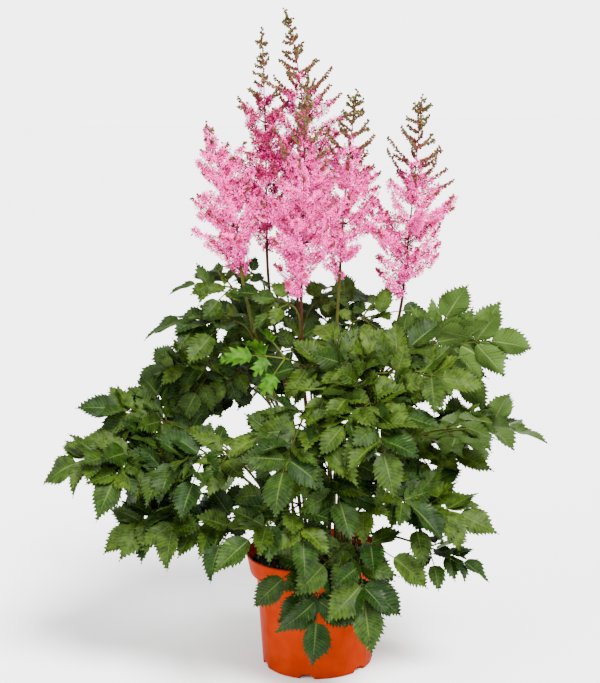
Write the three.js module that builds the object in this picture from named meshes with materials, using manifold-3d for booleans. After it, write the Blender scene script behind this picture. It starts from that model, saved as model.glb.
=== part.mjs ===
// An astilbe in its nursery pot. Millimetres, +Z up, origin at the centre of the pot's underside,
// with the plant's front towards -Y.
import * as THREE from 'three';
import { mergeVertices } from 'three/addons/utils/BufferGeometryUtils.js';
import Module from 'manifold-3d';

const wasm = await Module();
wasm.setup();

const up = new THREE.Vector3(0, 0, 1);
const degree = Math.PI / 180;

// ---------------------------------------------------------------- driving dimensions

// The pot, about two litres.
const potHeight = 142;
const potFacets = 24;
const rimRadius = 85;
const rimBead = 1.2;
const collarFootRadius = 80.4;
const collarFootZ = 117;
const shoulderRadius = 73.1;
const footRadius = 68;
const potWall = 1.6;
const channelZ = 5;
const channelInner = 34;
const channelOuter = 58;
const channelSlope = 3;
const footNotches = 6;
const footNotchWidth = 16;
const footNotchHeight = 6;
const footNotchSlope = 2.4;
const firstNotchAngle = 18 * degree;
const drainHoleRadius = 5;
const drainHoleFacets = 5;

// The peat, filled to a little below the rim.
const gap = 0.3;
const soilZ = 129;
const soilFacets = 16;
const soilRings = [52, 26, 0];
const soilRelief = 1.4;
const soilWaves = [0.21, 0.17];
const socketDepth = 22;

// Flower stalks, leaf stalks and the limbs that a leaf stalk divides into, all four-sided. A lean
// and an arrival are the shares of its reach that a stem rises upright and comes in straight. Out
// of the soil it first rises straight.
const stemSides = 4;
const straightRise = 3;
const stalkRadius = 2.4;
const stalkTopRadius = 1.8;
const stalkSteps = 5;
const axisTipRadius = 0.7;
const stalkLean = 0.45;
const stalkArrival = 0.35;
const petioleRadius = 1.9;
const petioleSteps = 4;
const petioleSpring = 4;
const limbRadius = 1.3;
const limbTipRadius = 1.1;
const limbSag = 0.14;
const mainLimbLength = 70;
const sideLimbLength = 46;
const sideLimbAngle = 58 * degree;
const bareLimbShares = [0, 0.5, 0.9];

// Leaflets, for a frond of size 1.
const leafletLength = 64;
const pairLength = 0.9;
const sideLimbLeaf = 0.88;
const leafletHalfWidth = 0.27;
const leafletRib = 2;
const leafletArch = 28 * degree;
const leafletFold = 13 * degree;
const leafletDroop = 0.1;
const pairAngle = 54 * degree;
const firstPair = 0.9;
const lastPair = 0.35;
const clearance = 0.5;

// How far leaflets differ: least and greatest, as a share of the usual except for the tilt.
const leafletTurns = [0.85, 1.15];
const leafletDroops = [0.4, 1.6];
const leafletTilts = [-20 * degree, 20 * degree];
const leafletLengths = [0.86, 1.14];
const leafletWidths = [0.9, 1.1];

// Half a leaflet's outline from its stalk to its tip: the share of its length, and of its greatest
// half width, at each tooth and at the notch past it. Its rib is thickest at its crest.
const leafletTeeth = [
  [0.24, 0.86], [0.28, 0.66],
  [0.50, 1.00], [0.54, 0.72],
  [0.75, 0.62], [0.79, 0.38],
];
const leafletCrestShare = 0.3;

// Flower sprays, each a fuzzy tail of florets. They stand in pairs, each pair turned from the last.
const sprayPairTurn = 45 * degree;
const firstSpray = 0.35;
const lastSpray = 0.2;
const sprayRingStep = 11.5;
const sprayPointLength = 0.8;
const sprayHollow = 0.42;
const sprayLift = 0.5;
const openSprayRadius = 8.5;
const budSprayRadius = 3.4;
const bloomFade = 5;
const shortestSpray = 5;
const steepestSpray = 40 * degree;
const flattestSpray = 62 * degree;
const spraySteepScatter = 12 * degree;
const sprayLengths = [0.8, 1.2];

// A spray's thickness, as a share of its radius: at its foot, how fast it grows from there, and how
// fast it tapers to its blunt end.
const sprayFootSwell = 0.45;
const sprayFootFlare = 1.6;
const sprayTipTaper = 2.4;
const sprayTipEnd = 1.08;

// How far the sprays reach, as a share of the longest: at the plume's foot, how fast that grows,
// and the curve that it then follows to the plume's tip.
const plumeFootReach = 0.6;
const plumeFootFlare = 2.2;
const plumeTopReach = 1.14;
const plumeTopCurve = 0.8;

// The turns that a leaflet or a spray tries, to the side and up, until it is clear.
const turns = [
  [0, 0], [0, -15], [0, 15], [-15, 0], [15, 0], [-15, -15], [15, 15], [15, -15], [-15, 15],
  [0, -30], [0, 30], [-30, 0], [30, 0], [-30, -25], [30, -25],
].map((turn) => turn.map((angle) => angle * degree));
const shrinks = [1, 0.75];

// ---------------------------------------------------------------- the plant's layout

// Flower stems: where each stands in the soil, where its plume starts, the point that its plume's
// axis bends towards, its tip, the reach of its longest spray, the share of the plume in open
// bloom, and the number of pairs of sprays.
const flowerStems = [
  { name: 'left', root: [-14, -6], base: [-80, -25, 500], bend: [-90, -25, 590], tip: [-114, -35, 669],
    reach: 54, bloom: 0.95, pairs: 10, seed: 11 },
  { name: 'back_left', root: [-10, 22], base: [-50, 70, 520], bend: [-47, 74, 640], tip: [-49, 70, 775],
    reach: 48, bloom: 0.5, pairs: 11, seed: 12 },
  { name: 'tallest', root: [6, 20], base: [-10, 45, 500], bend: [12, 52, 690], tip: [-21, 50, 796],
    reach: 56, bloom: 0.45, pairs: 11, seed: 13 },
  { name: 'front', root: [0, -20], base: [-9, -62, 478], bend: [-4, -74, 600], tip: [4, -60, 722],
    reach: 52, bloom: 0.6, pairs: 11, seed: 14 },
  { name: 'right_centre', root: [18, 6], base: [38, 0, 493], bend: [46, 4, 600], tip: [62, 0, 700],
    reach: 58, bloom: 0.6, pairs: 10, seed: 15 },
  { name: 'right', root: [28, 12], base: [114, 14, 462], bend: [128, 16, 580], tip: [139, 14, 692],
    reach: 66, bloom: 0.5, pairs: 10, seed: 16 },
];

// Leaves on the flower stalks: the share of the stalk at which each leaf stalk leaves it, and the
// rest as for a frond.
const stalkLeaves = [
  { name: 'left_upper', on: 'left', share: 0.8, hub: [-90, -32, 476], heading: 185, rise: 12,
    face: [0, -0.5, 0.85], size: 0.6, pairs: [1, 0], seed: 41 },
  { name: 'left_lower', on: 'left', share: 0.68, hub: [-92, -30, 436], heading: 178, rise: 4,
    face: [0, -0.3, 1], size: 0.85, pairs: [1, 0], seed: 42 },
  { name: 'front', on: 'front', share: 0.84, hub: [-24, -76, 462], heading: 160, rise: 20,
    face: [0, -0.6, 0.8], size: 0.55, pairs: [0, 0], seed: 43 },
  { name: 'right_centre', on: 'right_centre', share: 0.68, hub: [62, -14, 432], heading: 0, rise: 14,
    face: [0, -0.4, 0.9], size: 0.7, pairs: [0, 0], seed: 44 },
  { name: 'back_left', on: 'back_left', share: 0.86, hub: [-66, 60, 478], heading: 200, rise: 5,
    face: [0, -0.3, 0.9], size: 0.55, pairs: [0, 0], seed: 45 },
  { name: 'tallest', on: 'tallest', share: 0.8, hub: [14, 36, 446], heading: 20, rise: 8,
    face: [0, -0.4, 0.9], size: 0.6, pairs: [0, 0], seed: 46 },
];

// Fronds: the place of each leaf stalk in the soil, the hub where it divides, the heading of its
// main limb in degrees from +X towards +Y, the rise of that limb in degrees, the way that its
// upper side faces, its size, and how many pairs of leaflets its main and side limbs carry.
const fronds = [
  { name: 'right_high', root: [34, 2], hub: [144, -24, 395], heading: -6, rise: 12,
    face: [0, 0.95, 0.3], size: 1, pairs: [2, 1], seed: 1 },
  { name: 'right_front', root: [26, -12], hub: [88, -112, 386], heading: -18, rise: 2,
    face: [0.1, -0.85, 0.5], size: 0.88, pairs: [1, 1], seed: 2 },
  { name: 'front_high_right', root: [12, -26], hub: [64, -138, 358], heading: -75, rise: -40,
    face: [0.1, -0.75, 0.6], size: 0.9, pairs: [1, 1], seed: 3 },
  { name: 'front_high', root: [8, -12], hub: [42, -90, 388], heading: 165, rise: 3,
    face: [-0.2, -0.7, 0.6], size: 0.88, pairs: [1, 1], seed: 4 },
  { name: 'right_middle', root: [36, -14], hub: [154, -60, 304], heading: -5, rise: 6,
    face: [0, 0.55, 0.85], size: 1.02, pairs: [2, 1], seed: 5 },
  { name: 'right_dark', root: [42, 4], hub: [122, -12, 272], heading: 0, rise: -6,
    face: [0, -0.5, 0.9], size: 0.92, pairs: [1, 0], seed: 6 },
  { name: 'right_low', root: [38, -22], hub: [104, -92, 230], heading: -14, rise: -8,
    face: [0.2, -0.6, 0.8], size: 0.92, pairs: [2, 0], seed: 7 },
  { name: 'right_lowest', root: [46, -8], hub: [134, -72, 165], heading: -20, rise: -14,
    face: [0.3, -0.4, 0.8], size: 0.62, pairs: [1, 0], seed: 8 },
  { name: 'front_low_right', root: [22, -34], hub: [46, -126, 198], heading: -78, rise: -58,
    face: [0.1, -0.85, 0.5], size: 1, pairs: [2, 0], seed: 9 },
  { name: 'front_low', root: [2, -42], hub: [4, -112, 172], heading: -100, rise: -64,
    face: [0, -0.9, 0.4], size: 1, pairs: [1, 0], seed: 10 },
  { name: 'front_left', root: [-12, -34], hub: [-17, -136, 241], heading: -150, rise: -20,
    face: [-0.3, -0.7, 0.6], size: 0.98, pairs: [1, 1], seed: 17 },
  { name: 'front_centre', root: [-6, -26], hub: [-14, -134, 334], heading: -110, rise: -30,
    face: [-0.1, -0.75, 0.6], size: 0.95, pairs: [1, 1], seed: 18 },
  { name: 'inner_front', root: [8, -34], hub: [10, -104, 290], heading: -70, rise: -35,
    face: [0.1, -0.8, 0.5], size: 0.9, pairs: [1, 0], seed: 19 },
  { name: 'inner_right', root: [30, -26], hub: [60, -100, 256], heading: -35, rise: -15,
    face: [0.2, -0.6, 0.7], size: 0.9, pairs: [1, 0], seed: 20 },
  { name: 'left_high', root: [-34, 6], hub: [-118, 20, 372], heading: 178, rise: 0,
    face: [-0.1, -0.75, 0.6], size: 0.82, pairs: [2, 0], seed: 21 },
  { name: 'left_upper', root: [-42, -2], hub: [-174, -20, 312], heading: 182, rise: 22,
    face: [-0.1, -0.65, 0.75], size: 0.88, pairs: [2, 1], seed: 22 },
  { name: 'left_middle', root: [-38, -12], hub: [-212, -62, 288], heading: 186, rise: -4,
    face: [-0.2, -0.5, 0.85], size: 0.92, pairs: [2, 1], seed: 201 },
  { name: 'left_inner', root: [-28, -18], hub: [-124, -84, 290], heading: 188, rise: -12,
    face: [-0.3, -0.5, 0.8], size: 0.92, pairs: [2, 0], seed: 301 },
  { name: 'left_low', root: [-46, -10], hub: [-158, -66, 228], heading: 188, rise: -24,
    face: [-0.3, -0.5, 0.8], size: 0.86, pairs: [2, 1], seed: 25 },
  { name: 'left_lowest', root: [-32, -28], hub: [-88, -92, 214], heading: 180, rise: -4,
    face: [-0.1, -0.5, 0.85], size: 0.92, pairs: [2, 0], seed: 126 },
  { name: 'left_back', root: [-26, 20], hub: [-104, 60, 342], heading: 170, rise: 0,
    face: [-0.1, -0.5, 0.85], size: 0.9, pairs: [1, 0], seed: 33 },
  { name: 'top_left', root: [-8, 8], hub: [-44, 24, 412], heading: 150, rise: 22,
    face: [0, -0.7, 0.7], size: 0.8, pairs: [1, 0], seed: 34 },
  { name: 'top_right', root: [14, 24], hub: [24, 60, 414], heading: 60, rise: 20,
    face: [0, -0.6, 0.8], size: 0.9, pairs: [1, 0], seed: 35 },
  { name: 'young', root: [-20, -12], hub: [-30, -66, 396], heading: 195, rise: 14,
    face: [0, -0.7, 0.7], size: 0.55, pairs: [1, 0], seed: 27 },
  { name: 'back_right', root: [26, 28], hub: [90, 100, 360], heading: 45, rise: 0,
    face: [0.2, 0.4, 0.9], size: 1, pairs: [1, 0], seed: 28 },
  { name: 'back', root: [4, 40], hub: [4, 140, 330], heading: 92, rise: -8,
    face: [0, 0.5, 0.9], size: 1, pairs: [1, 0], seed: 29 },
  { name: 'back_left', root: [-26, 34], hub: [-80, 110, 330], heading: 130, rise: -4,
    face: [-0.2, 0.4, 0.9], size: 1, pairs: [1, 0], seed: 30 },
  { name: 'back_low', root: [20, 44], hub: [50, 150, 226], heading: 65, rise: -20,
    face: [0.1, 0.5, 0.8], size: 1, pairs: [1, 0], seed: 31 },
  { name: 'back_low_left', root: [-20, 46], hub: [-70, 136, 220], heading: 120, rise: -18,
    face: [-0.3, 0.4, 0.8], size: 1, pairs: [1, 0], seed: 32 },
];

// ---------------------------------------------------------------- solids

function toSolid(geometry) {
  const bare = geometry.clone();
  bare.deleteAttribute('normal');
  bare.deleteAttribute('uv');
  const merged = mergeVertices(bare);
  return new wasm.Manifold(new wasm.Mesh({
    numProp: 3,
    vertProperties: new Float32Array(merged.attributes.position.array),
    triVerts: new Uint32Array(merged.index.array),
  }));
}

function toMesh(name, solid, look) {
  const { vertProperties, triVerts } = solid.getMesh();
  const geometry = new THREE.BufferGeometry();
  geometry.setAttribute('position', new THREE.BufferAttribute(vertProperties, 3));
  geometry.setIndex(new THREE.BufferAttribute(triVerts, 1));
  geometry.computeVertexNormals();
  const mesh = new THREE.Mesh(geometry, new THREE.MeshStandardMaterial(look));
  mesh.name = name;
  return mesh;
}

// A skin grows ring by ring. A ring is the four corners of a stem, a leaflet's foot or a spray:
// its left, top, right and under corner, which turn anticlockwise round the way that it grows.
class Skin {
  corners = [];

  triangles = [];

  corner(point) {
    this.corners.push(point);
    return this.corners.length - 1;
  }

  // A new ring round a centre, of one radius or of one for each corner.
  ring(centre, frame, radius) {
    const radii = Array.isArray(radius) ? radius : [radius, radius, radius, radius];
    const ways = [frame.side, frame.face, frame.side.clone().negate(), frame.face.clone().negate()];
    return ways.map((way, index) => this.corner(centre.clone().addScaledVector(way, radii[index])));
  }

  // The sides between two rings, apart from those named as left open.
  wall(low, high, open = []) {
    for (let side = 0; side < stemSides; side += 1) {
      const next = (side + 1) % stemSides;
      if (!open.includes(side)) {
        this.triangles.push([low[side], low[next], high[next]], [low[side], high[next], high[side]]);
      }
    }
  }

  // Closes a ring at the end of its growth.
  close([left, top, right, under]) {
    this.triangles.push([left, top, right], [left, right, under]);
  }

  // Closes a ring at the start of its growth.
  root([left, top, right, under]) {
    this.triangles.push([left, right, top], [left, under, right]);
  }

  point([left, top, right, under], tip) {
    this.triangles.push([left, top, tip], [top, right, tip], [right, under, tip], [under, left, tip]);
  }

  // The walls between two rings with a foot open on each side. It gives back the two feet.
  fork(low, high, middle, frame, radius) {
    const [left, top, right, under] = low;
    const [nextLeft, nextTop, nextRight, nextUnder] = high;
    const crest = this.corner(middle.clone().addScaledVector(frame.face, radius));
    const belly = this.corner(middle.clone().addScaledVector(frame.face, -radius));
    this.triangles.push(
      [left, top, crest], [crest, nextTop, nextLeft], [under, left, belly], [belly, nextLeft, nextUnder],
      [top, right, crest], [crest, nextRight, nextTop], [right, under, belly], [belly, nextUnder, nextRight],
    );
    return { left: [left, crest, nextLeft, belly], right: [nextRight, crest, right, belly] };
  }

  solid() {
    const geometry = new THREE.BufferGeometry();
    const places = this.corners.flatMap((corner) => corner.toArray());
    geometry.setAttribute('position', new THREE.Float32BufferAttribute(places, 3));
    geometry.setIndex(this.triangles.flat());
    return toSolid(geometry);
  }
}

// A frame on a direction, with its face as near as it can be to the one given.
function frameFor(along, face) {
  const square = face.clone().addScaledVector(along, -face.dot(along)).normalize();
  return { along: along.clone(), side: square.clone().cross(along), face: square };
}

// Frames along a path that don't twist, worked back from the frame at its end. Each halves the
// turn between the stretches before and after it.
function carriedFrames(points, last) {
  const frames = [];
  let face = last.face;
  for (let index = points.length - 1; index >= 0; index -= 1) {
    const here = points[index];
    const before = points[Math.max(index - 1, 0)];
    const after = points[Math.min(index + 1, points.length - 1)];
    const along = here.clone().sub(before).normalize().add(after.clone().sub(here).normalize());
    const frame = frameFor(along.normalize(), face);
    face = frame.face;
    frames.unshift(frame);
  }
  return frames;
}

function taper(from, to, count) {
  return Array.from({ length: count }, (_, index) => from + ((to - from) * index) / (count - 1));
}

// Grows a tapering stem through the points, and gives back its last ring.
function growStem(skin, points, radii, last) {
  const frames = carriedFrames(points, last);
  const rings = points.map((point, index) => skin.ring(point, frames[index], radii[index]));
  skin.root(rings[0]);
  rings.slice(1).forEach((ring, index) => skin.wall(rings[index], ring));
  return rings.at(-1);
}

// A seeded stream of numbers, each between two limits. It mixes a counter's bits.
function makeDraw(seed) {
  const seedStep = 7919;
  const counterStep = 0x6d2b79f5;
  let counter = seed * seedStep;
  return ([least, greatest]) => {
    counter = (counter + counterStep) >>> 0;
    let mixed = Math.imul(counter ^ (counter >>> 15), counter | 1);
    mixed ^= mixed + Math.imul(mixed ^ (mixed >>> 7), mixed | 61);
    const share = ((mixed ^ (mixed >>> 14)) >>> 0) / 2 ** 32;
    return least + (greatest - least) * share;
  };
}

// ---------------------------------------------------------------- keeping clear

// What already stands, with its box, so that later leaflets and sprays can bend clear of it.
const standing = [];

function stand(group, solid) {
  standing.push({ group, solid, box: solid.boundingBox() });
}

function boxesMeet(one, other) {
  return [0, 1, 2].every((axis) => one.min[axis] <= other.max[axis] && other.min[axis] <= one.max[axis]);
}

function isClear(solid, ownGroups) {
  const box = solid.boundingBox();
  return !standing.some((other) => !ownGroups.includes(other.group)
    && boxesMeet(box, other.box)
    && !solid.intersect(other.solid).isEmpty());
}

// Turns a frame to the side, about its face, and then up or down.
function turnedFrame(frame, [aside, lift]) {
  const along = frame.along.clone().applyAxisAngle(frame.face, aside);
  const side = frame.face.clone().cross(along);
  along.applyAxisAngle(side, -lift);
  return { along, side, face: along.clone().cross(side) };
}

// A leaflet or spray by itself, on a ring of its own.
function loneSolid(item, grow, spare) {
  const skin = new Skin();
  const foot = skin.ring(item.base, item.frame, item.footRadius);
  skin.root(foot);
  grow(skin, foot, item, spare);
  return skin.solid();
}

// Settles an item in the first turn and size that is clear of all but its own groups.
function settle(item, grow, ownGroups, group) {
  for (const shrink of shrinks) {
    for (const turn of turns) {
      const settled = { ...item, frame: turnedFrame(item.frame, turn), length: item.length * shrink };
      if (isClear(loneSolid(settled, grow, clearance), ownGroups)) {
        stand(group, loneSolid(settled, grow, 0));
        return settled;
      }
    }
  }
  return null;
}

// ---------------------------------------------------------------- pot and soil

function latheSolid(profile, facets) {
  const points = profile.map(([radius, z]) => new THREE.Vector2(radius, z));
  const geometry = new THREE.LatheGeometry(points, facets);
  geometry.rotateX(Math.PI / 2);
  return toSolid(geometry);
}

function wallRadius(z) {
  return footRadius + ((shoulderRadius - footRadius) * z) / collarFootZ;
}

function collarRadius(z) {
  const share = (z - collarFootZ) / (potHeight - collarFootZ);
  return collarFootRadius + (rimRadius - collarFootRadius) * share;
}

function footNotchSolid(index) {
  const half = footNotchWidth / 2;
  const arch = new THREE.Shape();
  arch.moveTo(-half, -1);
  arch.lineTo(half, -1);
  arch.lineTo(half - footNotchSlope, footNotchHeight);
  arch.lineTo(-half + footNotchSlope, footNotchHeight);
  const depth = 2 * (footRadius - channelOuter);
  const cutter = new THREE.ExtrudeGeometry(arch, { depth, bevelEnabled: false });
  cutter.rotateX(Math.PI / 2);
  cutter.translate(0, channelOuter + depth, 0);
  cutter.rotateZ(firstNotchAngle + (index * 2 * Math.PI) / footNotches);
  return toSolid(cutter);
}

function drainHoleSolid(index) {
  const height = 4 * channelZ;
  const cutter = new THREE.CylinderGeometry(drainHoleRadius, drainHoleRadius, height, drainHoleFacets);
  cutter.rotateX(Math.PI / 2);
  cutter.translate((channelInner + channelOuter) / 2, 0, channelZ);
  cutter.rotateZ(((index + 0.5) * 2 * Math.PI) / footNotches);
  return toSolid(cutter);
}

// The moulded pot: a disc and a foot ring to stand on, a raised drainage channel between them, a
// tapering wall, and a wider collar with a beaded rim.
function potSolid() {
  const floorZ = channelZ + potWall;
  const ledgeZ = collarFootZ + potWall;
  const profile = [
    [0, 0], [channelInner - channelSlope, 0], [channelInner, channelZ], [channelOuter, channelZ],
    [channelOuter + channelSlope, 0], [footRadius, 0], [shoulderRadius, collarFootZ],
    [collarFootRadius, collarFootZ], [rimRadius, potHeight - rimBead],
    [rimRadius - rimBead / 2, potHeight], [rimRadius - potWall, potHeight],
    [collarFootRadius - potWall, ledgeZ], [shoulderRadius - potWall, ledgeZ],
    [wallRadius(floorZ) - potWall, floorZ], [channelInner - potWall, floorZ],
    [channelInner - channelSlope - potWall, potWall], [0, potWall],
  ];
  let pot = latheSolid(profile, potFacets);
  for (let index = 0; index < footNotches; index += 1) {
    pot = pot.subtract(footNotchSolid(index)).subtract(drainHoleSolid(index));
  }
  return pot;
}

// A hole in the soil that a stem stands in.
function socketSolid([x, y], radius) {
  const wide = (radius + gap) / Math.cos(Math.PI / stemSides);
  const hole = new THREE.CylinderGeometry(wide, wide, 2 * socketDepth, stemSides);
  hole.rotateX(Math.PI / 2);
  hole.translate(x, y, soilZ);
  return toSolid(hole);
}

// The peat fills the pot, clear of the flats of its wall, with an uneven top.
function soilSolid(sockets) {
  const inset = potWall + gap + rimRadius * (1 - Math.cos(Math.PI / potFacets));
  const floorZ = channelZ + potWall + gap;
  const ledgeZ = collarFootZ + potWall + gap;
  const brimZ = soilZ - soilRelief;
  const profile = [
    [0, floorZ], [wallRadius(floorZ) - inset, floorZ],
    [shoulderRadius - inset, ledgeZ], [collarRadius(ledgeZ) - inset, ledgeZ],
    [collarRadius(brimZ) - inset, brimZ],
    ...soilRings.map((radius) => [radius, soilZ]),
  ];
  const points = profile.map(([radius, z]) => new THREE.Vector2(radius, z));
  const geometry = new THREE.LatheGeometry(points, soilFacets);
  geometry.rotateX(Math.PI / 2);
  const places = geometry.attributes.position;
  for (let index = 0; index < places.count; index += 1) {
    if (places.getZ(index) > soilZ - soilRelief / 2) {
      const across = Math.sin(places.getX(index) * soilWaves[0]);
      const wave = across * Math.cos(places.getY(index) * soilWaves[1]);
      places.setZ(index, soilZ + soilRelief * wave);
    }
  }
  const peat = toSolid(geometry);
  return sockets.reduce((whole, { root, radius }) => whole.subtract(socketSolid(root, radius)), peat);
}

// ---------------------------------------------------------------- stems

// A path from its place in the soil up to a point, which it reaches along the given direction.
function risingPath(root, end, arrival, steps) {
  const foot = new THREE.Vector3(root[0], root[1], soilZ - socketDepth + gap);
  const start = new THREE.Vector3(root[0], root[1], soilZ + straightRise);
  const reach = start.distanceTo(end);
  const lower = start.clone().addScaledVector(up, reach * stalkLean);
  const upper = end.clone().addScaledVector(arrival, -reach * stalkArrival);
  const curve = new THREE.CubicBezierCurve3(start, lower, upper, end);
  return [foot, ...curve.getPoints(steps)];
}

// The point at a share of a path, and the way that the path runs there.
function placeOn(points, share) {
  const place = share * (points.length - 1);
  const index = Math.floor(place);
  return {
    point: points[index].clone().lerp(points[index + 1], place - index),
    along: points[index + 1].clone().sub(points[index]).normalize(),
  };
}

// ---------------------------------------------------------------- leaves

function limbPoint(limb, share) {
  return limb.start.clone()
    .addScaledVector(limb.frame.along, limb.length * share)
    .addScaledVector(up, (-limbSag * limb.length * share * share) / 2);
}

function limbFrame(limb, share) {
  const along = limb.frame.along.clone().addScaledVector(up, -limbSag * share).normalize();
  return frameFor(along, limb.frame.face);
}

function limbRing(skin, limb, share, offset) {
  const frame = limbFrame(limb, share);
  const centre = limbPoint(limb, share).addScaledVector(frame.along, offset);
  return skin.ring(centre, frame, limbTipRadius);
}

// A leaflet on a limb, at an angle to its left or right, or straight on at its end.
function makeLeaflet(limb, share, turn, length, draw) {
  const frame = limbFrame(limb, share);
  const along = frame.along.clone().applyAxisAngle(frame.face, turn * draw(leafletTurns));
  along.addScaledVector(up, -leafletDroop * draw(leafletDroops)).normalize();
  const tilted = frame.face.clone().applyAxisAngle(along, draw(leafletTilts));
  return {
    frame: frameFor(along, tilted),
    base: limbPoint(limb, share).addScaledVector(along, turn === 0 ? 0 : limbTipRadius),
    length: length * draw(leafletLengths),
    halfWidth: leafletHalfWidth * draw(leafletWidths),
    footRadius: limbTipRadius,
  };
}

// The leaflets of a limb: pairs spread along it, and one at its end.
function makeLeaflets(limb, draw) {
  for (let pair = 0; pair < limb.pairCount; pair += 1) {
    const share = (pair + firstPair) / (limb.pairCount + firstPair - lastPair);
    const length = limb.leafLength * pairLength;
    limb.pairs.push({
      share,
      left: makeLeaflet(limb, share, pairAngle, length, draw),
      right: makeLeaflet(limb, share, -pairAngle, length, draw),
    });
  }
  limb.end = makeLeaflet(limb, 1, 0, limb.leafLength, draw);
}

// A leaf divides in three at its hub: a main limb straight on, and a side limb to each side.
function makeLimbs(leaf) {
  const draw = makeDraw(leaf.seed);
  const heading = leaf.heading * degree;
  const rise = leaf.rise * degree;
  const level = Math.cos(rise);
  const along = new THREE.Vector3(level * Math.cos(heading), level * Math.sin(heading), Math.sin(rise));
  const frame = frameFor(along, new THREE.Vector3(...leaf.face));
  const start = new THREE.Vector3(...leaf.hub);
  const limb = (turn, length, leafShare, pairCount) => ({
    start,
    frame: frameFor(along.clone().applyAxisAngle(frame.face, turn), frame.face),
    length: length * leaf.size,
    leafLength: leafletLength * leafShare * leaf.size,
    pairCount,
    pairs: [],
  });
  const limbs = {
    main: limb(0, mainLimbLength, 1, leaf.pairs[0]),
    left: limb(sideLimbAngle, sideLimbLength, sideLimbLeaf, leaf.pairs[1]),
    right: limb(-sideLimbAngle, sideLimbLength, sideLimbLeaf, leaf.pairs[1]),
  };
  Object.values(limbs).forEach((one) => makeLeaflets(one, draw));
  return limbs;
}

// A point on a leaflet, at a share of its length and of its half width, off its rib's face.
function leafletPoint(leaflet, share, width, lift) {
  const { frame, base, length } = leaflet;
  const turn = leafletArch * share;
  const half = width * leaflet.halfWidth * length;
  const faceHere = frame.face.clone().multiplyScalar(Math.cos(turn))
    .addScaledVector(frame.along, Math.sin(turn));
  return base.clone()
    .addScaledVector(frame.along, (length * Math.sin(turn)) / leafletArch)
    .addScaledVector(frame.face, (-length * (1 - Math.cos(turn))) / leafletArch)
    .addScaledVector(frame.side, half * Math.cos(leafletFold))
    .addScaledVector(faceHere, Math.abs(half) * Math.sin(leafletFold) + lift);
}

// Triangles round the thickest point of a rib, from its foot and along one edge to the tip.
function fan(middle, ribFoot, edge) {
  const along = edge.slice(1).map((corner, index) => [edge[index], middle, corner]);
  return [[edge[0], ribFoot, middle], ...along];
}

function flipped(triangles) {
  return triangles.map(([one, two, three]) => [one, three, two]);
}

// One toothed leaflet on its foot: a folded, arching blade, thick at its rib and thin at its edge.
// It can be grown with room to spare round it.
function growLeaflet(skin, foot, leaflet, spare) {
  const [footLeft, footTop, footRight, footUnder] = foot;
  const half = leafletRib / 2 + spare;
  const widen = 1 + spare / (leaflet.halfWidth * leaflet.length);
  const grown = (share, width, lift) => skin.corner(leafletPoint(leaflet, share, width, lift));
  const teeth = (way) => leafletTeeth.map(([share, width]) => grown(share, way * width * widen, 0));
  const crest = grown(leafletCrestShare, 0, half);
  const belly = grown(leafletCrestShare, 0, -half);
  const tip = grown(1 + spare / leaflet.length, 0, 0);
  const left = [footLeft, ...teeth(1), tip];
  const right = [footRight, ...teeth(-1), tip];
  skin.triangles.push(...fan(crest, footTop, left), ...flipped(fan(crest, footTop, right)));
  skin.triangles.push(...flipped(fan(belly, footUnder, left)), ...fan(belly, footUnder, right));
}

function growOrClose(skin, foot, item, grow) {
  if (item) {
    grow(skin, foot, item, 0);
  } else {
    skin.close(foot);
  }
}

// A limb from its first ring: a fork at each pair of leaflets, and a leaflet at its end.
function growLimb(skin, first, limb) {
  let ring = first;
  for (const pair of limb.pairs) {
    const low = limbRing(skin, limb, pair.share, -limbTipRadius);
    const high = limbRing(skin, limb, pair.share, limbTipRadius);
    skin.wall(ring, low);
    const frame = limbFrame(limb, pair.share);
    const feet = skin.fork(low, high, limbPoint(limb, pair.share), frame, limbTipRadius);
    growOrClose(skin, feet.left, pair.left, growLeaflet);
    growOrClose(skin, feet.right, pair.right, growLeaflet);
    ring = high;
  }
  const last = limbRing(skin, limb, 1, 0);
  skin.wall(ring, last);
  growOrClose(skin, last, limb.end, growLeaflet);
}

// The path of a leaf stalk up to its hub, from the soil or square off the side of a flower stalk.
function leafPath(leaf, limbs) {
  const { along } = limbs.main.frame;
  const end = limbs.main.start.clone().addScaledVector(along, -limbRadius);
  if (leaf.root) {
    return risingPath(leaf.root, end, along, petioleSteps);
  }
  const stem = flowerStems.find(({ name }) => name === leaf.on);
  const stalk = placeOn(stalkPath(stem), leaf.share);
  const outward = frameFor(stalk.along, end.clone().sub(stalk.point)).face;
  const thickness = stalkRadius + (stalkTopRadius - stalkRadius) * leaf.share;
  const start = stalk.point.clone().addScaledVector(outward, thickness + gap);
  const sprung = start.clone().addScaledVector(outward, petioleSpring);
  const bend = end.clone().addScaledVector(along, -sprung.distanceTo(end) * stalkArrival);
  return [start, ...new THREE.QuadraticBezierCurve3(sprung, bend, end).getPoints(2)];
}

function growPetiole(skin, leaf, limbs) {
  const points = leafPath(leaf, limbs);
  const thick = leaf.root ? petioleRadius : limbRadius;
  return growStem(skin, points, taper(thick, limbRadius, points.length), limbs.main.frame);
}

// The bare stems of a leaf, which its leaflets and all others bend clear of.
function leafStems(leaf, limbs) {
  const skin = new Skin();
  skin.close(growPetiole(skin, leaf, limbs));
  const bareLimbs = Object.values(limbs).map((limb) => {
    const bare = new Skin();
    const [first, middle, last] = bareLimbShares.map((share) => limbRing(bare, limb, share, 0));
    bare.root(first);
    bare.wall(first, middle);
    bare.wall(middle, last);
    bare.close(last);
    return bare.solid();
  });
  return bareLimbs.reduce((whole, bare) => whole.add(bare), skin.solid());
}

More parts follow.
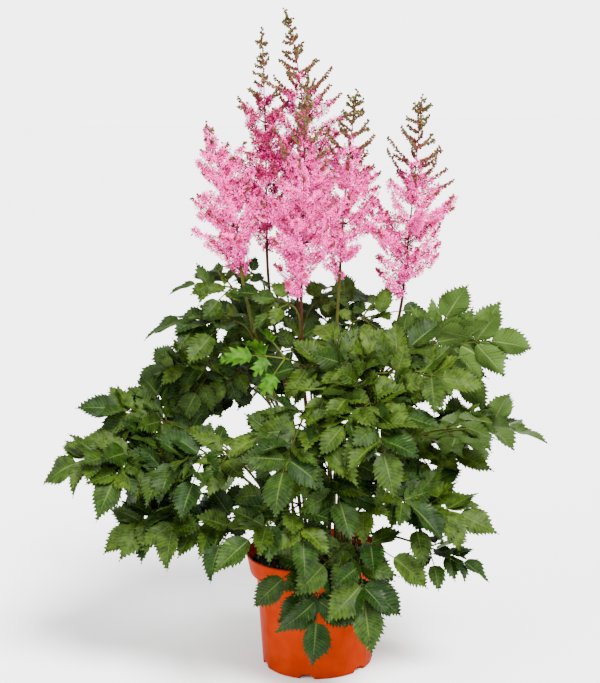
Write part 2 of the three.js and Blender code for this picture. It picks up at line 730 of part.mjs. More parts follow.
// Each pair of leaflets may touch its own leaf's stems and its fellow, and nothing else.
function settleLeaflets(limbs, node) {
  Object.entries(limbs).forEach(([name, limb]) => {
    limb.pairs.forEach((pair, index) => {
      const group = `${node}/${name}/${index}`;
      pair.left = settle(pair.left, growLeaflet, [node, group], group);
      pair.right = settle(pair.right, growLeaflet, [node, group], group);
    });
    limb.end = settle(limb.end, growLeaflet, [node], `${node}/${name}/end`);
  });
}

function leafSolid(leaf, limbs) {
  const skin = new Skin();
  const { main, left, right } = limbs;
  const low = growPetiole(skin, leaf, limbs);
  const beyond = main.start.clone().addScaledVector(main.frame.along, limbRadius);
  const high = skin.ring(beyond, main.frame, limbTipRadius);
  const feet = skin.fork(low, high, main.start, main.frame, limbRadius);
  growLimb(skin, high, main);
  growLimb(skin, feet.left, left);
  growLimb(skin, feet.right, right);
  return skin.solid();
}

// ---------------------------------------------------------------- flowers

function plumeAxis(stem) {
  const places = [stem.base, stem.bend, stem.tip].map((place) => new THREE.Vector3(...place));
  return new THREE.QuadraticBezierCurve3(...places);
}

// The axis has two rings for each pair of sprays, close together, and turns a little at each pair.
function axisStation(stem, pair) {
  const axis = plumeAxis(stem);
  const share = (pair + firstSpray) / (stem.pairs + firstSpray - lastSpray);
  const along = axis.getTangent(share);
  const turn = pair * sprayPairTurn;
  const way = new THREE.Vector3(Math.cos(turn), Math.sin(turn), 0);
  return {
    share,
    centre: axis.getPoint(share),
    frame: frameFor(along, way),
    radius: stalkTopRadius + (axisTipRadius - stalkTopRadius) * share,
  };
}

function stalkPath(stem) {
  const axis = plumeAxis(stem);
  const arrival = axis.getTangent(0);
  const end = axis.getPoint(0).addScaledVector(arrival, -gap);
  return risingPath(stem.root, end, arrival, stalkSteps);
}

function stalkSolid(stem) {
  const points = stalkPath(stem);
  const arrival = plumeAxis(stem).getTangent(0);
  const radii = [stalkRadius, ...taper(stalkRadius, stalkTopRadius, stalkSteps + 1)];
  const skin = new Skin();
  skin.close(growStem(skin, points, radii, frameFor(arrival, new THREE.Vector3(1, 0, 0))));
  return skin.solid();
}

// How thick a spray is along its length: slimmer at its foot, and tapering at its tip.
function spraySwell(share) {
  return Math.min(1, sprayFootSwell + sprayFootFlare * share, sprayTipTaper * (sprayTipEnd - share));
}

// How far the sprays reach along the axis: short at the plume's foot, longest a quarter of the way
// up, and shorter again to the tip.
function sprayReach(share) {
  return Math.min(plumeFootReach + plumeFootFlare * share, plumeTopReach * (1 - share) ** plumeTopCurve);
}

// A spray: rings whose corners stand out and in by turns, like rows of florets, to a point.
function growSpray(skin, foot, spray, spare) {
  const ringCount = Math.max(2, Math.round(spray.length / sprayRingStep));
  const length = spray.length + spare;
  const centre = (share) => spray.base.clone()
    .addScaledVector(spray.frame.along, length * share)
    .addScaledVector(up, (sprayLift * length * share * share) / 2);
  let ring = foot;
  for (let index = 1; index <= ringCount; index += 1) {
    const share = index / (ringCount + sprayPointLength);
    const far = spray.radius * spraySwell(share) + spare;
    const near = far * sprayHollow;
    const radii = index % 2 === 0 ? [far, near, far, near] : [near, far, near, far];
    const next = skin.ring(centre(share), spray.frame, radii);
    skin.wall(ring, next);
    ring = next;
  }
  skin.point(ring, skin.corner(centre(1)));
}

// The two sprays of a pair grow from opposite sides of the axis. Those past the open share of the
// plume are still in bud, and thin.
function makeSprays(stem) {
  const draw = makeDraw(stem.seed);
  return Array.from({ length: stem.pairs }, (_, pair) => {
    const { share, centre, frame, radius } = axisStation(stem, pair);
    const reach = stem.reach * sprayReach(share) + shortestSpray;
    const openness = Math.min(1, Math.max(0, (stem.bloom - share) * bloomFade + 0.5));
    const steepness = steepestSpray + (flattestSpray - steepestSpray) * share;
    const spray = (way) => {
      const fromAxis = steepness + draw([0, spraySteepScatter]);
      const outward = frame.side.clone().multiplyScalar(way);
      const along = frame.along.clone().multiplyScalar(Math.cos(fromAxis))
        .addScaledVector(outward, Math.sin(fromAxis));
      return {
        frame: frameFor(along, frame.face),
        base: centre.clone().addScaledVector(outward, radius),
        length: reach * draw(sprayLengths),
        radius: budSprayRadius + (openSprayRadius - budSprayRadius) * openness,
        footRadius: radius,
      };
    };
    return { left: spray(1), right: spray(-1) };
  });
}

function axisSolid(stem) {
  const skin = new Skin();
  const axis = plumeAxis(stem);
  const points = axis.getPoints(stem.pairs);
  const radii = taper(stalkTopRadius, axisTipRadius, stem.pairs + 1);
  skin.close(growStem(skin, points, radii, frameFor(axis.getTangent(1), new THREE.Vector3(1, 0, 0))));
  return skin.solid();
}

function settleSprays(sprays, node) {
  sprays.forEach((pair, index) => {
    const group = `${node}/${index}`;
    pair.left = settle(pair.left, growSpray, [node, group], group);
    pair.right = settle(pair.right, growSpray, [node, group], group);
  });
}

function plumeSolid(stem, sprays) {
  const skin = new Skin();
  const axis = plumeAxis(stem);
  const start = axisStation(stem, 0);
  let ring = skin.ring(axis.getPoint(0), frameFor(axis.getTangent(0), start.frame.face), stalkTopRadius);
  skin.root(ring);
  sprays.forEach((pair, index) => {
    const { centre, frame, radius } = axisStation(stem, index);
    const low = skin.ring(centre.clone().addScaledVector(frame.along, -radius), frame, radius);
    const high = skin.ring(centre.clone().addScaledVector(frame.along, radius), frame, radius);
    skin.wall(ring, low);
    const feet = skin.fork(low, high, centre, frame, radius);
    growOrClose(skin, feet.left, pair.left, growSpray);
    growOrClose(skin, feet.right, pair.right, growSpray);
    ring = high;
  });
  skin.point(ring, skin.corner(axis.getPoint(1)));
  return skin.solid();
}

// ---------------------------------------------------------------- assembly

const looks = {
  pot: { color: 0xe0561b, roughness: 0.35, metalness: 0 },
  soil: { color: 0x2b1c14, roughness: 0.95, metalness: 0 },
  stalk: { color: 0x6b3a22, roughness: 0.6, metalness: 0 },
  plume: { color: 0xee86b4, roughness: 0.8, metalness: 0 },
  leaf: { color: 0x3f6a2a, roughness: 0.6, metalness: 0 },
};

const sockets = [
  ...flowerStems.map(({ root }) => ({ root, radius: stalkRadius })),
  ...fronds.map(({ root }) => ({ root, radius: petioleRadius })),
];

const plant = new THREE.Group();
const pot = potSolid();
const soil = soilSolid(sockets);
plant.add(toMesh('pot', pot, looks.pot), toMesh('soil', soil, looks.soil));
stand('pot', pot);
stand('soil', soil);

const plumes = flowerStems.map((stem) => ({ stem, node: `plume_${stem.name}`, sprays: makeSprays(stem) }));
const leaves = [
  ...stalkLeaves.map((leaf) => ({ leaf, node: `stalk_leaf_${leaf.name}`, limbs: makeLimbs(leaf) })),
  ...fronds.map((leaf) => ({ leaf, node: `frond_${leaf.name}`, limbs: makeLimbs(leaf) })),
];

for (const stem of flowerStems) {
  const stalk = stalkSolid(stem);
  plant.add(toMesh(`stalk_${stem.name}`, stalk, looks.stalk));
  stand(`stalk_${stem.name}`, stalk);
}
plumes.forEach(({ stem, node }) => stand(node, axisSolid(stem)));
leaves.forEach(({ leaf, node, limbs }) => stand(node, leafStems(leaf, limbs)));

for (const { stem, node, sprays } of plumes) {
  settleSprays(sprays, node);
  plant.add(toMesh(node, plumeSolid(stem, sprays), looks.plume));
}
for (const { leaf, node, limbs } of leaves) {
  settleLeaflets(limbs, node);
  plant.add(toMesh(node, leafSolid(leaf, limbs), looks.leaf));
}

export default plant;
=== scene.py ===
"""The astilbe in its nursery pot: fine leaves, plumes, stalks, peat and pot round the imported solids.

Lengths are millimetres, as in the part's own source, and become metres in the meshes. The layout
and the growth rules are the part's. Where a leaflet or a spray bent clear of another, the tip of
its solid tells which way it bent.
"""

import math
from collections import namedtuple

import bpy
import numpy as np
from mathutils import Matrix, Vector
from mathutils.kdtree import KDTree


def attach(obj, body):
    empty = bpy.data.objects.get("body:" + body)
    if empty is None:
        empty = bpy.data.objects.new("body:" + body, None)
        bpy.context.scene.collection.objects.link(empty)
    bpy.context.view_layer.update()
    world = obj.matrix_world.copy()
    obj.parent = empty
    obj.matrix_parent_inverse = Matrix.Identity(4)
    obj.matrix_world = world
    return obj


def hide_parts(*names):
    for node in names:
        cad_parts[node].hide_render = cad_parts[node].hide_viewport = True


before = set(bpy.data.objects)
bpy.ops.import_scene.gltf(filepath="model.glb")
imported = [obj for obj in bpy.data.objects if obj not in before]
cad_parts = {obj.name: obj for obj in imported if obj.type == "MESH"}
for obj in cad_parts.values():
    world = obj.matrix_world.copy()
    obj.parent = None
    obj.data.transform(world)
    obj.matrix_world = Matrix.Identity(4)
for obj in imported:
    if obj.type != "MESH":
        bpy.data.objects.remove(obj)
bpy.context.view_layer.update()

UP = np.array([0.0, 0.0, 1.0])
MM = 0.001
ROUND = 2 * math.pi

# ---------------------------------------------------------------- camera

# Its place is in metres and its lens is in the photo's pixels.
CAMERA_PLACE = (-0.01206, -1.8, 0.7466)
CAMERA_PITCH = 0.1884
CAMERA_ROLL = -0.0245
CAMERA_CLIP = (0.05, 50)
FOCAL_PIXELS = 1522.5
PHOTO_HEIGHT = 683
SENSOR_MM = 36.0


def make_camera():
    camera = bpy.data.objects.new("camera", bpy.data.cameras.new("camera"))
    bpy.context.scene.collection.objects.link(camera)
    camera.data.sensor_width = SENSOR_MM
    camera.data.lens = FOCAL_PIXELS / PHOTO_HEIGHT * SENSOR_MM
    camera.data.clip_start, camera.data.clip_end = CAMERA_CLIP
    tilt = Matrix.Rotation(math.pi / 2 - CAMERA_PITCH, 4, "X")
    roll = Matrix.Rotation(CAMERA_ROLL, 4, "Z")
    camera.matrix_world = Matrix.Translation(CAMERA_PLACE) @ tilt @ roll
    bpy.context.scene.camera = camera


make_camera()

# ---------------------------------------------------------------- sizes shared with the solids

POT_HEIGHT = 142
RIM_RADIUS = 85
COLLAR_FOOT_RADIUS = 80.4
COLLAR_FOOT_Z = 117
SHOULDER_RADIUS = 73.1
FOOT_RADIUS = 68
POT_WALL = 1.6
CHANNEL_Z = 5
CHANNEL_INNER = 34
CHANNEL_OUTER = 58
CHANNEL_SLOPE = 3
FOOT_NOTCHES = 6
FOOT_NOTCH_WIDTH = 16
FOOT_NOTCH_SLOPE = 2.4
DRAIN_HOLE_RADIUS = 5

GAP = 0.3
SOIL_Z = 129
SOIL_RELIEF = 1.4
SOIL_WAVES = (0.21, 0.17)
SOCKET_DEPTH = 22

STRAIGHT_RISE = 3
STALK_RADIUS = 2.4
STALK_TOP_RADIUS = 1.8
STALK_STEPS = 5
AXIS_TIP_RADIUS = 0.7
STALK_LEAN = 0.45
STALK_ARRIVAL = 0.35
PETIOLE_RADIUS = 1.9
PETIOLE_SPRING = 4
LIMB_RADIUS = 1.3
LIMB_TIP_RADIUS = 1.1
LIMB_SAG = 0.14
MAIN_LIMB_LENGTH = 70
SIDE_LIMB_LENGTH = 46
SIDE_LIMB_ANGLE = math.radians(58)

LEAFLET_LENGTH = 64
PAIR_LENGTH = 0.9
SIDE_LIMB_LEAF = 0.88
LEAFLET_HALF_WIDTH = 0.27
LEAFLET_ARCH = math.radians(28)
LEAFLET_FOLD = math.radians(13)
LEAFLET_DROOP = 0.1
PAIR_ANGLE = math.radians(54)
FIRST_PAIR = 0.9
LAST_PAIR = 0.35
LEAFLET_TURNS = (0.85, 1.15)
LEAFLET_DROOPS = (0.4, 1.6)
LEAFLET_TILTS = (math.radians(-20), math.radians(20))
LEAFLET_LENGTHS = (0.86, 1.14)
LEAFLET_WIDTHS = (0.9, 1.1)

PLUME_FOOT_REACH = 0.6
PLUME_FOOT_FLARE = 2.2
PLUME_TOP_REACH = 1.14
PLUME_TOP_ROUNDNESS = 0.8
SPRAY_PAIR_TURN = math.radians(45)
FIRST_SPRAY = 0.35
LAST_SPRAY = 0.2
SPRAY_LIFT = 0.5
SHORTEST_SPRAY = 5
STEEPEST_SPRAY = math.radians(40)
FLATTEST_SPRAY = math.radians(62)
SPRAY_STEEP_SCATTER = (0, math.radians(12))
SPRAY_LENGTHS = (0.8, 1.2)

TURNS = [
    (0, 0), (0, -15), (0, 15), (-15, 0), (15, 0), (-15, -15), (15, 15), (15, -15), (-15, 15),
    (0, -30), (0, 30), (-30, 0), (30, 0), (-30, -25), (30, -25),
]
SHRINKS = (1, 0.75)
SAME_TIP = 0.4

# ---------------------------------------------------------------- the plant's layout, as the solids'

FlowerStem = namedtuple("FlowerStem", "root base bend tip reach bloom pairs seed")
FLOWER_STEMS = {
    "left": FlowerStem(
        (-14, -6), (-80, -25, 500), (-90, -25, 590), (-114, -35, 669), 54, 0.95, 10, 11),
    "back_left": FlowerStem(
        (-10, 22), (-50, 70, 520), (-47, 74, 640), (-49, 70, 775), 48, 0.5, 11, 12),
    "tallest": FlowerStem(
        (6, 20), (-10, 45, 500), (12, 52, 690), (-21, 50, 796), 56, 0.45, 11, 13),
    "front": FlowerStem(
        (0, -20), (-9, -62, 478), (-4, -74, 600), (4, -60, 722), 52, 0.6, 11, 14),
    "right_centre": FlowerStem(
        (18, 6), (38, 0, 493), (46, 4, 600), (62, 0, 700), 58, 0.6, 10, 15),
    "right": FlowerStem(
        (28, 12), (114, 14, 462), (128, 16, 580), (139, 14, 692), 66, 0.5, 10, 16),
}

Leaf = namedtuple("Leaf", "foot hub heading rise face size pairs seed")
STALK_LEAVES = {
    "left_upper": Leaf(
        ("left", 0.8), (-90, -32, 476), 185, 12, (0, -0.5, 0.85), 0.6, (1, 0), 41),
    "left_lower": Leaf(
        ("left", 0.68), (-92, -30, 436), 178, 4, (0, -0.3, 1), 0.85, (1, 0), 42),
    "front": Leaf(
        ("front", 0.84), (-24, -76, 462), 160, 20, (0, -0.6, 0.8), 0.55, (0, 0), 43),
    "right_centre": Leaf(
        ("right_centre", 0.68), (62, -14, 432), 0, 14, (0, -0.4, 0.9), 0.7, (0, 0), 44),
    "back_left": Leaf(
        ("back_left", 0.86), (-66, 60, 478), 200, 5, (0, -0.3, 0.9), 0.55, (0, 0), 45),
    "tallest": Leaf(
        ("tallest", 0.8), (14, 36, 446), 20, 8, (0, -0.4, 0.9), 0.6, (0, 0), 46),
}
FRONDS = {
    "right_high": Leaf((34, 2), (144, -24, 395), -6, 12, (0, 0.95, 0.3), 1, (2, 1), 1),
    "right_front": Leaf((26, -12), (88, -112, 386), -18, 2, (0.1, -0.85, 0.5), 0.88, (1, 1), 2),
    "front_high_right": Leaf(
        (12, -26), (64, -138, 358), -75, -40, (0.1, -0.75, 0.6), 0.9, (1, 1), 3),
    "front_high": Leaf((8, -12), (42, -90, 388), 165, 3, (-0.2, -0.7, 0.6), 0.88, (1, 1), 4),
    "right_middle": Leaf((36, -14), (154, -60, 304), -5, 6, (0, 0.55, 0.85), 1.02, (2, 1), 5),
    "right_dark": Leaf((42, 4), (122, -12, 272), 0, -6, (0, -0.5, 0.9), 0.92, (1, 0), 6),
    "right_low": Leaf((38, -22), (104, -92, 230), -14, -8, (0.2, -0.6, 0.8), 0.92, (2, 0), 7),
    "right_lowest": Leaf((46, -8), (134, -72, 165), -20, -14, (0.3, -0.4, 0.8), 0.62, (1, 0), 8),
    "front_low_right": Leaf(
        (22, -34), (46, -126, 198), -78, -58, (0.1, -0.85, 0.5), 1, (2, 0), 9),
    "front_low": Leaf((2, -42), (4, -112, 172), -100, -64, (0, -0.9, 0.4), 1, (1, 0), 10),
    "front_left": Leaf(
        (-12, -34), (-17, -136, 241), -150, -20, (-0.3, -0.7, 0.6), 0.98, (1, 1), 17),
    "front_centre": Leaf(
        (-6, -26), (-14, -134, 334), -110, -30, (-0.1, -0.75, 0.6), 0.95, (1, 1), 18),
    "inner_front": Leaf((8, -34), (10, -104, 290), -70, -35, (0.1, -0.8, 0.5), 0.9, (1, 0), 19),
    "inner_right": Leaf((30, -26), (60, -100, 256), -35, -15, (0.2, -0.6, 0.7), 0.9, (1, 0), 20),
    "left_high": Leaf((-34, 6), (-118, 20, 372), 178, 0, (-0.1, -0.75, 0.6), 0.82, (2, 0), 21),
    "left_upper": Leaf(
        (-42, -2), (-174, -20, 312), 182, 22, (-0.1, -0.65, 0.75), 0.88, (2, 1), 22),
    "left_middle": Leaf(
        (-38, -12), (-212, -62, 288), 186, -4, (-0.2, -0.5, 0.85), 0.92, (2, 1), 201),
    "left_inner": Leaf(
        (-28, -18), (-124, -84, 290), 188, -12, (-0.3, -0.5, 0.8), 0.92, (2, 0), 301),
    "left_low": Leaf((-46, -10), (-158, -66, 228), 188, -24, (-0.3, -0.5, 0.8), 0.86, (2, 1), 25),
    "left_lowest": Leaf((-32, -28), (-88, -92, 214), 180, -4, (-0.1, -0.5, 0.85), 0.92, (2, 0), 126),
    "left_back": Leaf((-26, 20), (-104, 60, 342), 170, 0, (-0.1, -0.5, 0.85), 0.9, (1, 0), 33),
    "top_left": Leaf((-8, 8), (-44, 24, 412), 150, 22, (0, -0.7, 0.7), 0.8, (1, 0), 34),
    "top_right": Leaf((14, 24), (24, 60, 414), 60, 20, (0, -0.6, 0.8), 0.9, (1, 0), 35),
    "young": Leaf((-20, -12), (-30, -66, 396), 195, 14, (0, -0.7, 0.7), 0.55, (1, 0), 27),
    "back_right": Leaf((26, 28), (90, 100, 360), 45, 0, (0.2, 0.4, 0.9), 1, (1, 0), 28),
    "back": Leaf((4, 40), (4, 140, 330), 92, -8, (0, 0.5, 0.9), 1, (1, 0), 29),
    "back_left": Leaf((-26, 34), (-80, 110, 330), 130, -4, (-0.2, 0.4, 0.9), 1, (1, 0), 30),
    "back_low": Leaf((20, 44), (50, 150, 226), 65, -20, (0.1, 0.5, 0.8), 1, (1, 0), 31),
    "back_low_left": Leaf((-20, 46), (-70, 136, 220), 120, -18, (-0.3, 0.4, 0.8), 1, (1, 0), 32),
}

# ---------------------------------------------------------------- finer sizes, only here

# Blades: their outline and teeth.
Teeth = namedtuple("Teeth", "pitch fewest jaggedness")
FINE_TEETH = Teeth(4.1, 6, 1)
YOUNG_TEETH = Teeth(8.5, 4, 3)
TOOTH_OUT = 0.035
TOOTH_IN = 0.012
TOOTH_FORWARD = 0.85
TOOTH_FADE = 3
SMALL_TOOTH = 0.65
LARGE_TOOTH = 1.35
TOOTH_SCATTER = (0.55, 1.35)
BLADE_START = 0.04
BROADNESS = 1.1
WIDEST_LOW = 0.68
FOOT_ROUNDNESS = 0.72
TIP_SHARPNESS = 1.5
VEIN_LEAN = 0.15

# Their points across, from margin to margin, and their relief.
COLUMNS = np.array([(-1, -0.52, 0, 0.52, 1)])
OUT = np.abs(COLUMNS)
MARGIN = OUT == 1
UNDER_COLUMNS = slice(None, None, 2)
BLADE_THICKNESS = 0.32
QUILT = 0.7
QUILT_SCATTER = (0.2, 1.6)
MIDRIB_SINK = 0.8
WAVE = 0.04
WAVES = 1.6
WAVE_SHIFT = 0.8
TIP_BENDS = (-0.08, 0.08)
ARCH_SCATTER = (-0.3, 0.3)
FOLD_SCATTER = (-0.15, 0.25)
TWISTS = (-0.5, 0.5)
LEAFLET_STALK_ROOT = 2
LEAFLET_STALK_RADII = [0.9, 0.75, 0.5]

# Leaflets between the solids' own, more of them behind, at the far left and in the middle, and
# a lower pair of limbs on the leaf stalks that stand behind or reach up high.
EXTRA_PAIRS = 1
DENSE_EXTRA_PAIRS = 2
FIRST_EXTRA = 0.45
LAST_EXTRA = 0.1
BEHIND_Y = 50
MIDDLE_X = 130
DENSE_LEFT_X = -120
EXTRA_SIZES = (0.68, 1.0)
EXTRA_WIDTHS = (0.75, 1.05)
EXTRA_TURNS = (0.7, 1.3)
EXTRA_LIFTS = (-8, 42)
EXTRA_ROLLS = (-0.8, 0.8)
LOWER_TIER = 0.87
LOWER_TIER_LEAST_Z = 250
LOWER_LIMB_LENGTH = 30
LOWER_LIMB_LEAF = 0.78
LIMB_START = 1.2
LIMB_END = 0.6

# How yellow the leaves are, and how much painted shade darkens the lowest.
YOUNG = "frond_young"
YOUNG_TINT = 1
DARK_TINT = 0.28
PALE_TINT = 0.66
PALE_WIDTHS = (30, 140)
LEFT_SHADE = 150
PALE_HEIGHTS = (220, 300)
LOW_LEAF_PAINTED_SHADE = 0.42
LOW_HEIGHTS = (160, 240)
LEAF_TINTS = (-0.08, 0.08)
LEAFLET_TINTS = (-0.4, 0.42)
GREATEST_TINT = 0.92

# Stems, with fewer sides the thinner they are.
STALK_SIDES = 12
STEM_SIDES = 8
STEM_STEPS = 22
LIMB_SIDES = 6
LIMB_POINTS = 8
TWIG_SIDES = 5
BRANCH_POINTS = 7
AXIS_POINTS = 30
AXIS_SLIMNESS = 0.9
AXIS_TAPER = 0.6
BRANCH_RADIUS = 0.7
BRANCH_TIP_RADIUS = 0.4

# Sprays between the solids' own: how many there are in a gap between two pairs, how much flatter
# than the solids' they lie, and how long they are as a share of the plume's reach.
SprayKind = namedtuple("SprayKind", "count flatter lengths")
FOOT_SPRAYS = SprayKind(2, (-0.05, 0.8), (0.7, 1.1))
LOW_SPRAYS = SprayKind(4, (-0.05, 0.8), (0.7, 1.1))
HIGH_SPRAYS = SprayKind(4, (0.1, 0.5), (0.62, 1.05))
BUD_SPRAYS = SprayKind(5, (0.1, 0.5), (0.72, 0.95))
LOW_SPRAY_SHARE = 0.35
LEAST_FOOT_REACH = 0.75
EXTRA_SPRAY_LIFT = 0.35
GOLDEN_TURN = math.radians(137.5)
TURN_SCATTER = (-0.3, 0.3)
TAPER_SHARES = (0.62, 0.86)

# Florets. A spray is in open bloom from its foot as far as its plume's bloom lets it, and from
# there to its blunt tip it holds clusters of buds.
BLOOM_FADE = 3.6
OPEN_SHARES = (0.88, 1.05)
BARE_SPRAY_FOOT = 0.13
FLORETS_PER_MM = 2.25
FLORET_SIZES = (4.0, 5.8)
FLORET_REACH = 4.6
FLORET_LEANS = (0.1, 0.9)
PETALS = 5
PETAL_WIDTH = 0.165
PETAL_POINTS = 4
PETAL_FACES = ((0, 1, 2), (1, 3, 2), (0, 3, 1), (0, 2, 3))
PETAL_OPENINGS = (0.35, 1.3)
PETAL_TURNS = (-0.35, 0.35)
PETAL_SIZES = (0.75, 1.15)
PETAL_START = 0.08
PETAL_MIDDLE = 0.6
PETAL_CROWN = 0.07
# Painted shade inside a brush: how much deeper pink the florets nearest a spray's stem are, and how much
# paler the outermost.
INNER_PAINTED_SHADE = 1.15
YOUNG_DEPTH = 0.3
FLORET_TINTS = (-0.35, 0.35)
FLORET_OUT = (0.1, 1)
YOUNG_BRUSH = 0.6
# Each at a spray's foot, and its change from there to the end of the open florets.
FLORET_TAPER = (1.3, -0.5)
BRUSH_FLARE = (0.6, 1.5)
BRUSH_TAPER = (1.2, -0.5)

# Buds.
BUD_CORNERS = np.array([(1, 0, 0), (-0.5, 0.87, 0), (-0.5, -0.87, 0), (0, 0, 1.25), (0, 0, -1)])
BUD_FACES = np.array([(0, 1, 3), (1, 2, 3), (2, 0, 3), (1, 0, 4), (2, 1, 4), (0, 2, 4)])
BUD_SIZES = (1.15, 1.7)
BUD_TINTS = (-0.2, 0.2)
BUD_WAY_SCATTER = 0.5
STRAY_BUD_PITCH = 3
STRAY_BUD_REACH = (3, 7.5)
FIRST_STRAY_BUD = 0.1
# Each at a plume's foot, and its rise up the plume, and then along the spray.
STRAY_BUD_TINTS = (0.25, 0.9)
TIP_BUD_TINTS = (-0.35, 1.2, 0.5)
CLUSTER_START = 0.8
CLUSTER_PITCH = 1.4
CLUSTER_BUDS = 5
CLUSTER_SPREAD = 0.3
CLUSTER_REACH = (0.3, 2.1)
CLUSTER_TURN_SCATTER = 0.6
CLUSTER_LEANS = (0.3, 0.9)
AXIS_CLUSTER_PITCH = 2.8
AXIS_CLUSTER_REACH = (0.8, 2.6)
AXIS_CLUSTER_RISE = 0.6

# How deep a plume's pink is, how far its extra sprays spread as a share of its reach, how much
# more of it is in bloom than its solid shows, from where up its axis has buds of its own, and how
# much shorter its sprays are at its tip.
PlumeLook = namedtuple("PlumeLook", "depth spread later budded taper")
PLUME_LOOKS = {
    "left": PlumeLook(0.1, 1.08, 0.03, 0.93, 0.4),
    "back_left": PlumeLook(1.02, 1.4, 0.14, 0.78, 0.48),
    "tallest": PlumeLook(0.92, 1.45, 0.11, 0.78, 0.52),
    "front": PlumeLook(0.25, 1.15, 0, 0.62, 0.45),
    "right_centre": PlumeLook(0.12, 1.15, 0, 0.86, 0),
    "right": PlumeLook(0.3, 1.1, 0.03, 0.86, 0),
}

# ---------------------------------------------------------------- directions

Axes = namedtuple("Axes", "along side face")


def unit(vector):
    return vector / np.linalg.norm(vector)


def units(vectors):
    return vectors / np.linalg.norm(vectors, axis=-1, keepdims=True)


def turned(vector, axis, angle):
    """A vector turned about a unit axis by the right-hand rule."""
    level = vector * math.cos(angle) + np.cross(axis, vector) * math.sin(angle)
    return level + axis * np.dot(axis, vector) * (1 - math.cos(angle))


def axes_for(along, face):
    """Axes on a direction, with their face as near as it can be to the one given."""
    square = unit(face - along * np.dot(face, along))
    return Axes(along, np.cross(square, along), square)


def turned_axes(axes, aside, lift):
    along = turned(axes.along, axes.face, aside)
    side = np.cross(axes.face, along)
    along = turned(along, side, -lift)
    return Axes(along, side, np.cross(along, side))


class Draw:
    """The solids' seeded stream of numbers, each between two limits. It mixes a counter's bits."""

    SEED_STEP = 7919
    COUNTER_STEP = 0x6D2B79F5
    WORD = 0xFFFFFFFF

    def __init__(self, seed):
        self.counter = seed * self.SEED_STEP

    def __call__(self, limits):
        least, greatest = limits
        self.counter = (self.counter + self.COUNTER_STEP) & self.WORD
        mixed = ((self.counter ^ (self.counter >> 15)) * (self.counter | 1)) & self.WORD
        mixed ^= (mixed + (mixed ^ (mixed >> 7)) * (mixed | 61)) & self.WORD
        return least + (greatest - least) * (mixed ^ (mixed >> 14)) / (self.WORD + 1)


# ---------------------------------------------------------------- growth, as the solids'


class Limb:
    def __init__(self, start, axes, length, leaf_length, pair_count):
        self.start, self.axes, self.length = start, axes, length
        self.leaf_length, self.pair_count = leaf_length, pair_count

    def point(self, share):
        sag = LIMB_SAG * self.length * share * share / 2
        return self.start + self.axes.along * self.length * share - UP * sag

    def axes_at(self, share):
        return axes_for(unit(self.axes.along - UP * LIMB_SAG * share), self.axes.face)


Leaflet = namedtuple("Leaflet", "axes base length half_width")


def make_leaflet(limb, share, turn, length, draw):
    axes = limb.axes_at(share)
    along = turned(axes.along, axes.face, turn * draw(LEAFLET_TURNS))
    along = unit(along - UP * LEAFLET_DROOP * draw(LEAFLET_DROOPS))
    face = turned(axes.face, along, draw(LEAFLET_TILTS))
    base = limb.point(share) + along * (LIMB_TIP_RADIUS if turn else 0)
    return Leaflet(
        axes_for(along, face), base, length * draw(LEAFLET_LENGTHS),
        LEAFLET_HALF_WIDTH * draw(LEAFLET_WIDTHS))


def make_leaflets(limb, draw):
    """Pairs spread along a limb, and one leaflet at its end."""
    found = []
    for pair in range(limb.pair_count):
        share = (pair + FIRST_PAIR) / (limb.pair_count + FIRST_PAIR - LAST_PAIR)
        for turn in (PAIR_ANGLE, -PAIR_ANGLE):
            found.append(make_leaflet(limb, share, turn, limb.leaf_length * PAIR_LENGTH, draw))
    found.append(make_leaflet(limb, 1, 0, limb.leaf_length, draw))
    return found


def make_limbs(leaf):
    """A leaf divides in three at its hub: a main limb straight on, and one to each side."""
    heading, rise = math.radians(leaf.heading), math.radians(leaf.rise)
    level = math.cos(rise)
    along = np.array([level * math.cos(heading), level * math.sin(heading), math.sin(rise)])
    axes = axes_for(along, np.array(leaf.face, float))
    start = np.array(leaf.hub, float)
    limbs = []
    for turn, length, leaf_share, pair_count in (
        (0, MAIN_LIMB_LENGTH, 1, leaf.pairs[0]),
        (SIDE_LIMB_ANGLE, SIDE_LIMB_LENGTH, SIDE_LIMB_LEAF, leaf.pairs[1]),
        (-SIDE_LIMB_ANGLE, SIDE_LIMB_LENGTH, SIDE_LIMB_LEAF, leaf.pairs[1]),
    ):
        limb_axes = axes_for(turned(along, axes.face, turn), axes.face)
        leaf_length = LEAFLET_LENGTH * leaf_share * leaf.size
        limbs.append(Limb(start, limb_axes, length * leaf.size, leaf_length, pair_count))
    return limbs


def leaflet_tip(leaflet):
    across = leaflet.length * math.sin(LEAFLET_ARCH) / LEAFLET_ARCH
    down = leaflet.length * (1 - math.cos(LEAFLET_ARCH)) / LEAFLET_ARCH
    return leaflet.base + leaflet.axes.along * across - leaflet.axes.face * down


Spray = namedtuple("Spray", "axes base length lift openness share")


def spray_tip(spray):
    return spray.base + spray.axes.along * spray.length + UP * spray.lift * spray.length / 2


class Tips:
    """The corners of a solid, to tell which way each of its leaflets or sprays bent."""

    def __init__(self, node):
        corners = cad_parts[node].data.vertices
        self.tree = KDTree(len(corners))
        for index, corner in enumerate(corners):
            self.tree.insert(corner.co, index)
        self.tree.balance()

    def has(self, point):
        return self.tree.find(Vector(point * MM))[2] < SAME_TIP * MM

    def settled(self, item, tip_of):
        """The item as its solid has it, or None where the solid dropped it."""
        for shrink in SHRINKS:
            for aside, lift in TURNS:
                axes = turned_axes(item.axes, math.radians(aside), math.radians(lift))
                bent = item._replace(axes=axes, length=item.length * shrink)
                if self.has(tip_of(bent)):
                    return bent
        return None


def bezier(points, steps):
    """Points along a Bezier curve of any degree."""
    share = np.linspace(0, 1, steps + 1)[:, None]
    levels = [np.broadcast_to(np.array(point, float), (steps + 1, 3)) for point in points]
    while len(levels) > 1:
        levels = [low * (1 - share) + high * share for low, high in zip(levels, levels[1:])]
    return levels[0]


